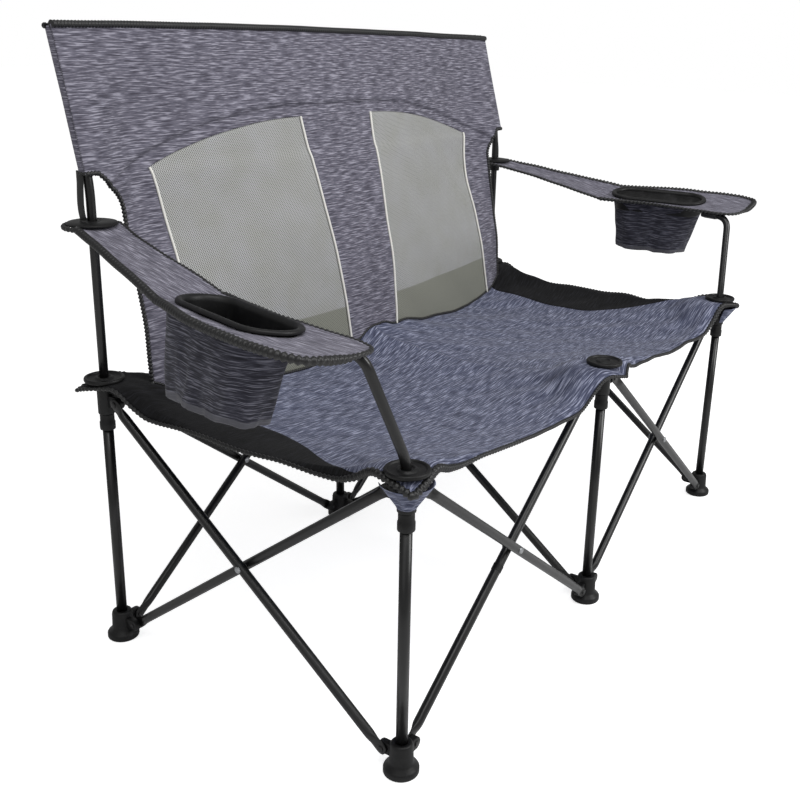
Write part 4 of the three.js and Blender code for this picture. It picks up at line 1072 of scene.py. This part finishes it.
for side, sign in SIDES.items():
    body = f"arm_front_{side}"

    def arm_share(u, sign=sign):
        return (2 * u - 1) * sign

    def rear_spread(u, v):
        return mix(ARM_CREASE_Y, ARM_REAR_Y, v), arm_share(u)

    def front_spread(u, v):
        return mix(ARM_CREASE_Y, ARM_TIP_Y, 1 - v ** 1.4), arm_share(u)

    def arm_block(columns, rows, spread, sign=sign):
        def thread(u, v):
            y, across = spread(u, v)
            return -y, arm_flat(y, across)
        return columns, rows, lambda u, v: arm_point(sign, *spread(u, v)), thread

    def outer_swell(point, sign=sign):
        out = sign * point.x - CELL - 0.36 * (MID_Y - point.y)
        return mix(1, 1.8, ease(out, -20 * MM, 40 * MM))

    rear = cloth(f"arm_rear_cloth_{side}", [arm_block(26, 54, rear_spread)], ARM_THICK, BACK_CLOTH,
                 f"arm_rear_{side}", "back_fabric", f"arm_rear_{side}")
    front = cloth(f"arm_front_cloth_{side}", [arm_block(40, 84, front_spread)], ARM_THICK, BACK_CLOTH, body,
                  "back_fabric", f"arm_front_{side}", drop=over_cup(sign))
    for across, kind, radius in ((1, "outer", 5 * MM), (-1, "inner", 2.8 * MM)):
        overlock(f"arm_rear_overlock_{side}_{kind}",
                                   arm_hem(sign, ARM_REAR_Y, ARM_CREASE_Y, across, 50), radius, ARM_PITCH,
                                   f"arm_rear_{side}")
    route = arm_hem(sign, ARM_CREASE_Y, ARM_TIP_Y, 1, 120)
    route += [arm_point(sign, ARM_TIP_Y, 1 - i / 10) - UP * ARM_THICK / 2 for i in range(1, 20)]
    route += arm_hem(sign, ARM_TIP_Y, ARM_CREASE_Y, -1, 120)
    hem = overlock(f"arm_front_overlock_{side}", route, 2.8 * MM, ARM_PITCH, body, swell=outer_swell)

    bm = bmesh.new()
    rings = [oval_ring(bm, sign, CUP_LENGTH - 2 * inset * MM, CUP_WIDTH - 2 * inset * MM, z * MM)
             for inset, z in CUP_PROFILE]
    for here, ahead in zip(rings, rings[1:] + rings[:1]):
        bmesh.ops.bridge_loops(bm, edges=here + ahead)
    face_out(bm)
    piece(bm, f"cup_rim_{side}", NYLON, body, "black_plastic", f"cup_ring_{side}")

    def pouch_place(u, v, sign=sign):
        turn = 2 * math.pi * u
        down = min(v / POUCH_SIDE, 1)
        under = max(v - POUCH_SIDE, 0) / (1 - POUCH_SIDE)
        shrink = 1 - under ** 1.3 * 0.985
        x, y = oval(mix(212, 167 - 13 * sign, down) * MM * shrink, mix(100, 74, down) * MM * shrink, u)
        c, s = math.cos(turn), math.sin(turn)
        drape = wander(2.6 * c + sign, 2.6 * s, down * 1.7) * 9 * MM * down
        sway = wander(7 * c, 7 * s + sign, down * 3) * 3 * MM * down
        uneven = 6 * MM * wander(2 * c, 2 * s, sign * 4.0)
        z = -4.3 * MM - (POUCH_DEPTH - 8 * MM + uneven) * down - 8 * MM * math.sin(under * math.pi / 2)
        out = Vector((x, y)).normalized() * (drape + sway) * (1 - under)
        return cup_point(sign, x + out.x + sign * 10 * MM, y + out.y + (13 - 3 * sign) * MM * down, z)

    def pouch_thread(u, v):
        return u * 440 * MM, v / POUCH_SIDE * POUCH_DEPTH

    def pouch_outside(u, v):
        return pouch_place(1 - u, v)

    # The pouch cloth is darkened with painted shade
    pouch = cloth(f"cup_pouch_cloth_{side}", [(132, 60, pouch_outside, pouch_thread)], 1.6 * MM, SHADED_POUCH_CLOTH,
                  body, "pouch_fabric", f"cup_pouch_{side}")
    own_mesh(pouch)

    low, top = DISC_BOTTOM_Z / MM, DISC_TOP_Z / MM
    outline = [(7.3, low), (11.8, low), (12.5, low + 1), (12.5, top - 6), (36.5, top - 6), (38, top - 4.6),
               (38, top - 3.4), (36.5, top - 1.8), (27, top - 0.3), (14, top), (12.4, top - 0.8), (11.2, top),
               (8.2, top), (7.3, top - 0.8), (7.3, low)]
    turned_moulding(f"arm_disc_moulding_{side}", outline, on_axis(f"back_{side}"), f"post_back_{side}",
                    f"arm_disc_{side}")


# Camera, light and floor

def look(place, right, down, forward):
    """A camera's matrix from its place and the directions of its picture."""
    turn = Matrix((right, -down, -forward)).transposed().to_4x4()
    turn.translation = place
    return turn


# The picture's side, focal length and middle in pixels, and the camera's place and turns
PICTURE, FOCAL, CENTRE_X, CENTRE_Y = 800, 1029, 439, 373
CAMERA_PLACE = at(-1.573, -0.985, 0.993)
YAW, PITCH, ROLL = 0.9896, 0.3189, -0.0307
ahead = Vector((math.sin(YAW) * math.cos(PITCH), math.cos(YAW) * math.cos(PITCH), -math.sin(PITCH)))
level = Vector((math.cos(YAW), -math.sin(YAW), 0))
below = ahead.cross(level)
camera = bpy.data.objects.new("camera", bpy.data.cameras.new("camera"))
bpy.context.scene.collection.objects.link(camera)
camera.matrix_world = look(CAMERA_PLACE, level * math.cos(ROLL) + below * math.sin(ROLL),
                           below * math.cos(ROLL) - level * math.sin(ROLL), ahead)
camera.data.lens = FOCAL / PICTURE * camera.data.sensor_width
camera.data.shift_x = 0.5 - CENTRE_X / PICTURE
camera.data.shift_y = CENTRE_Y / PICTURE - 0.5
bpy.context.scene.camera = camera


def lamp(name, place, target, size, power):
    """A soft box that faces a target."""
    light = bpy.data.lights.new(name, "AREA")
    light.shape = "SQUARE"
    light.size = size
    light.energy = power
    made = bpy.data.objects.new(name, light)
    turn = (target - place).to_track_quat("-Z", "Y").to_matrix().to_4x4()
    made.matrix_world = Matrix.Translation(place) @ turn
    bpy.context.scene.collection.objects.link(made)


MIDDLE = Vector((0, 0, 0.5))
lamp("key_box", Vector((0.9, -3.0, 2.3)), MIDDLE, 1.6, 60)
lamp("fill_box", Vector((-3.0, -0.6, 2.2)), MIDDLE, 2.4, 9)
lamp("top_box", Vector((-1.0, -0.9, 3.0)), MIDDLE, 2.0, 36)

world = bpy.data.worlds.new("studio")
bpy.context.scene.world = world
world.use_nodes = True
tree = world.node_tree
backdrop = tree.nodes["Background"]
sight = add(tree, "LightPath", output="Is Camera Ray")
backdrop.inputs["Color"].default_value = linear("ffffff")
dress(tree, backdrop, Strength=add(tree, "MapRange", {"Value": sight, 3: 0.36, 4: 1.0}))


def studio_floor():
    """Seamless white paper: it takes the object's shadow, and reads as white to the camera elsewhere."""
    material, tree, shader = new_finish("studio_paper", Roughness=0.9, Specular_IOR_Level=0.1,
                                        Emission_Color=linear("ffffff"))
    place = add(tree, "TexCoord", output="Object")
    fibre = add(tree, "TexNoise", {"Vector": place, "Scale": 1 / (30 * MM), "Detail": 3})
    tone = add(tree, "Mix", {0: fibre, 6: linear("f0f0f0"), 7: linear("f4f4f4")}, output=2, data_type="RGBA")
    sight = add(tree, "LightPath", output="Is Camera Ray")
    lift = add(tree, "Math", {0: sight, 1: 0.7}, operation="MULTIPLY")
    dress(tree, shader, Base_Color=tone, Emission_Strength=lift)
    return material


bm = bmesh.new()
bmesh.ops.create_grid(bm, x_segments=8, y_segments=8, size=20)
paper = bpy.data.meshes.new("floor")
bm.to_mesh(paper)
bm.free()
paper.materials.append(studio_floor())
floor = bpy.data.objects.new("floor", paper)
bpy.context.scene.collection.objects.link(floor)

bpy.context.scene.view_settings.view_transform = "Standard"
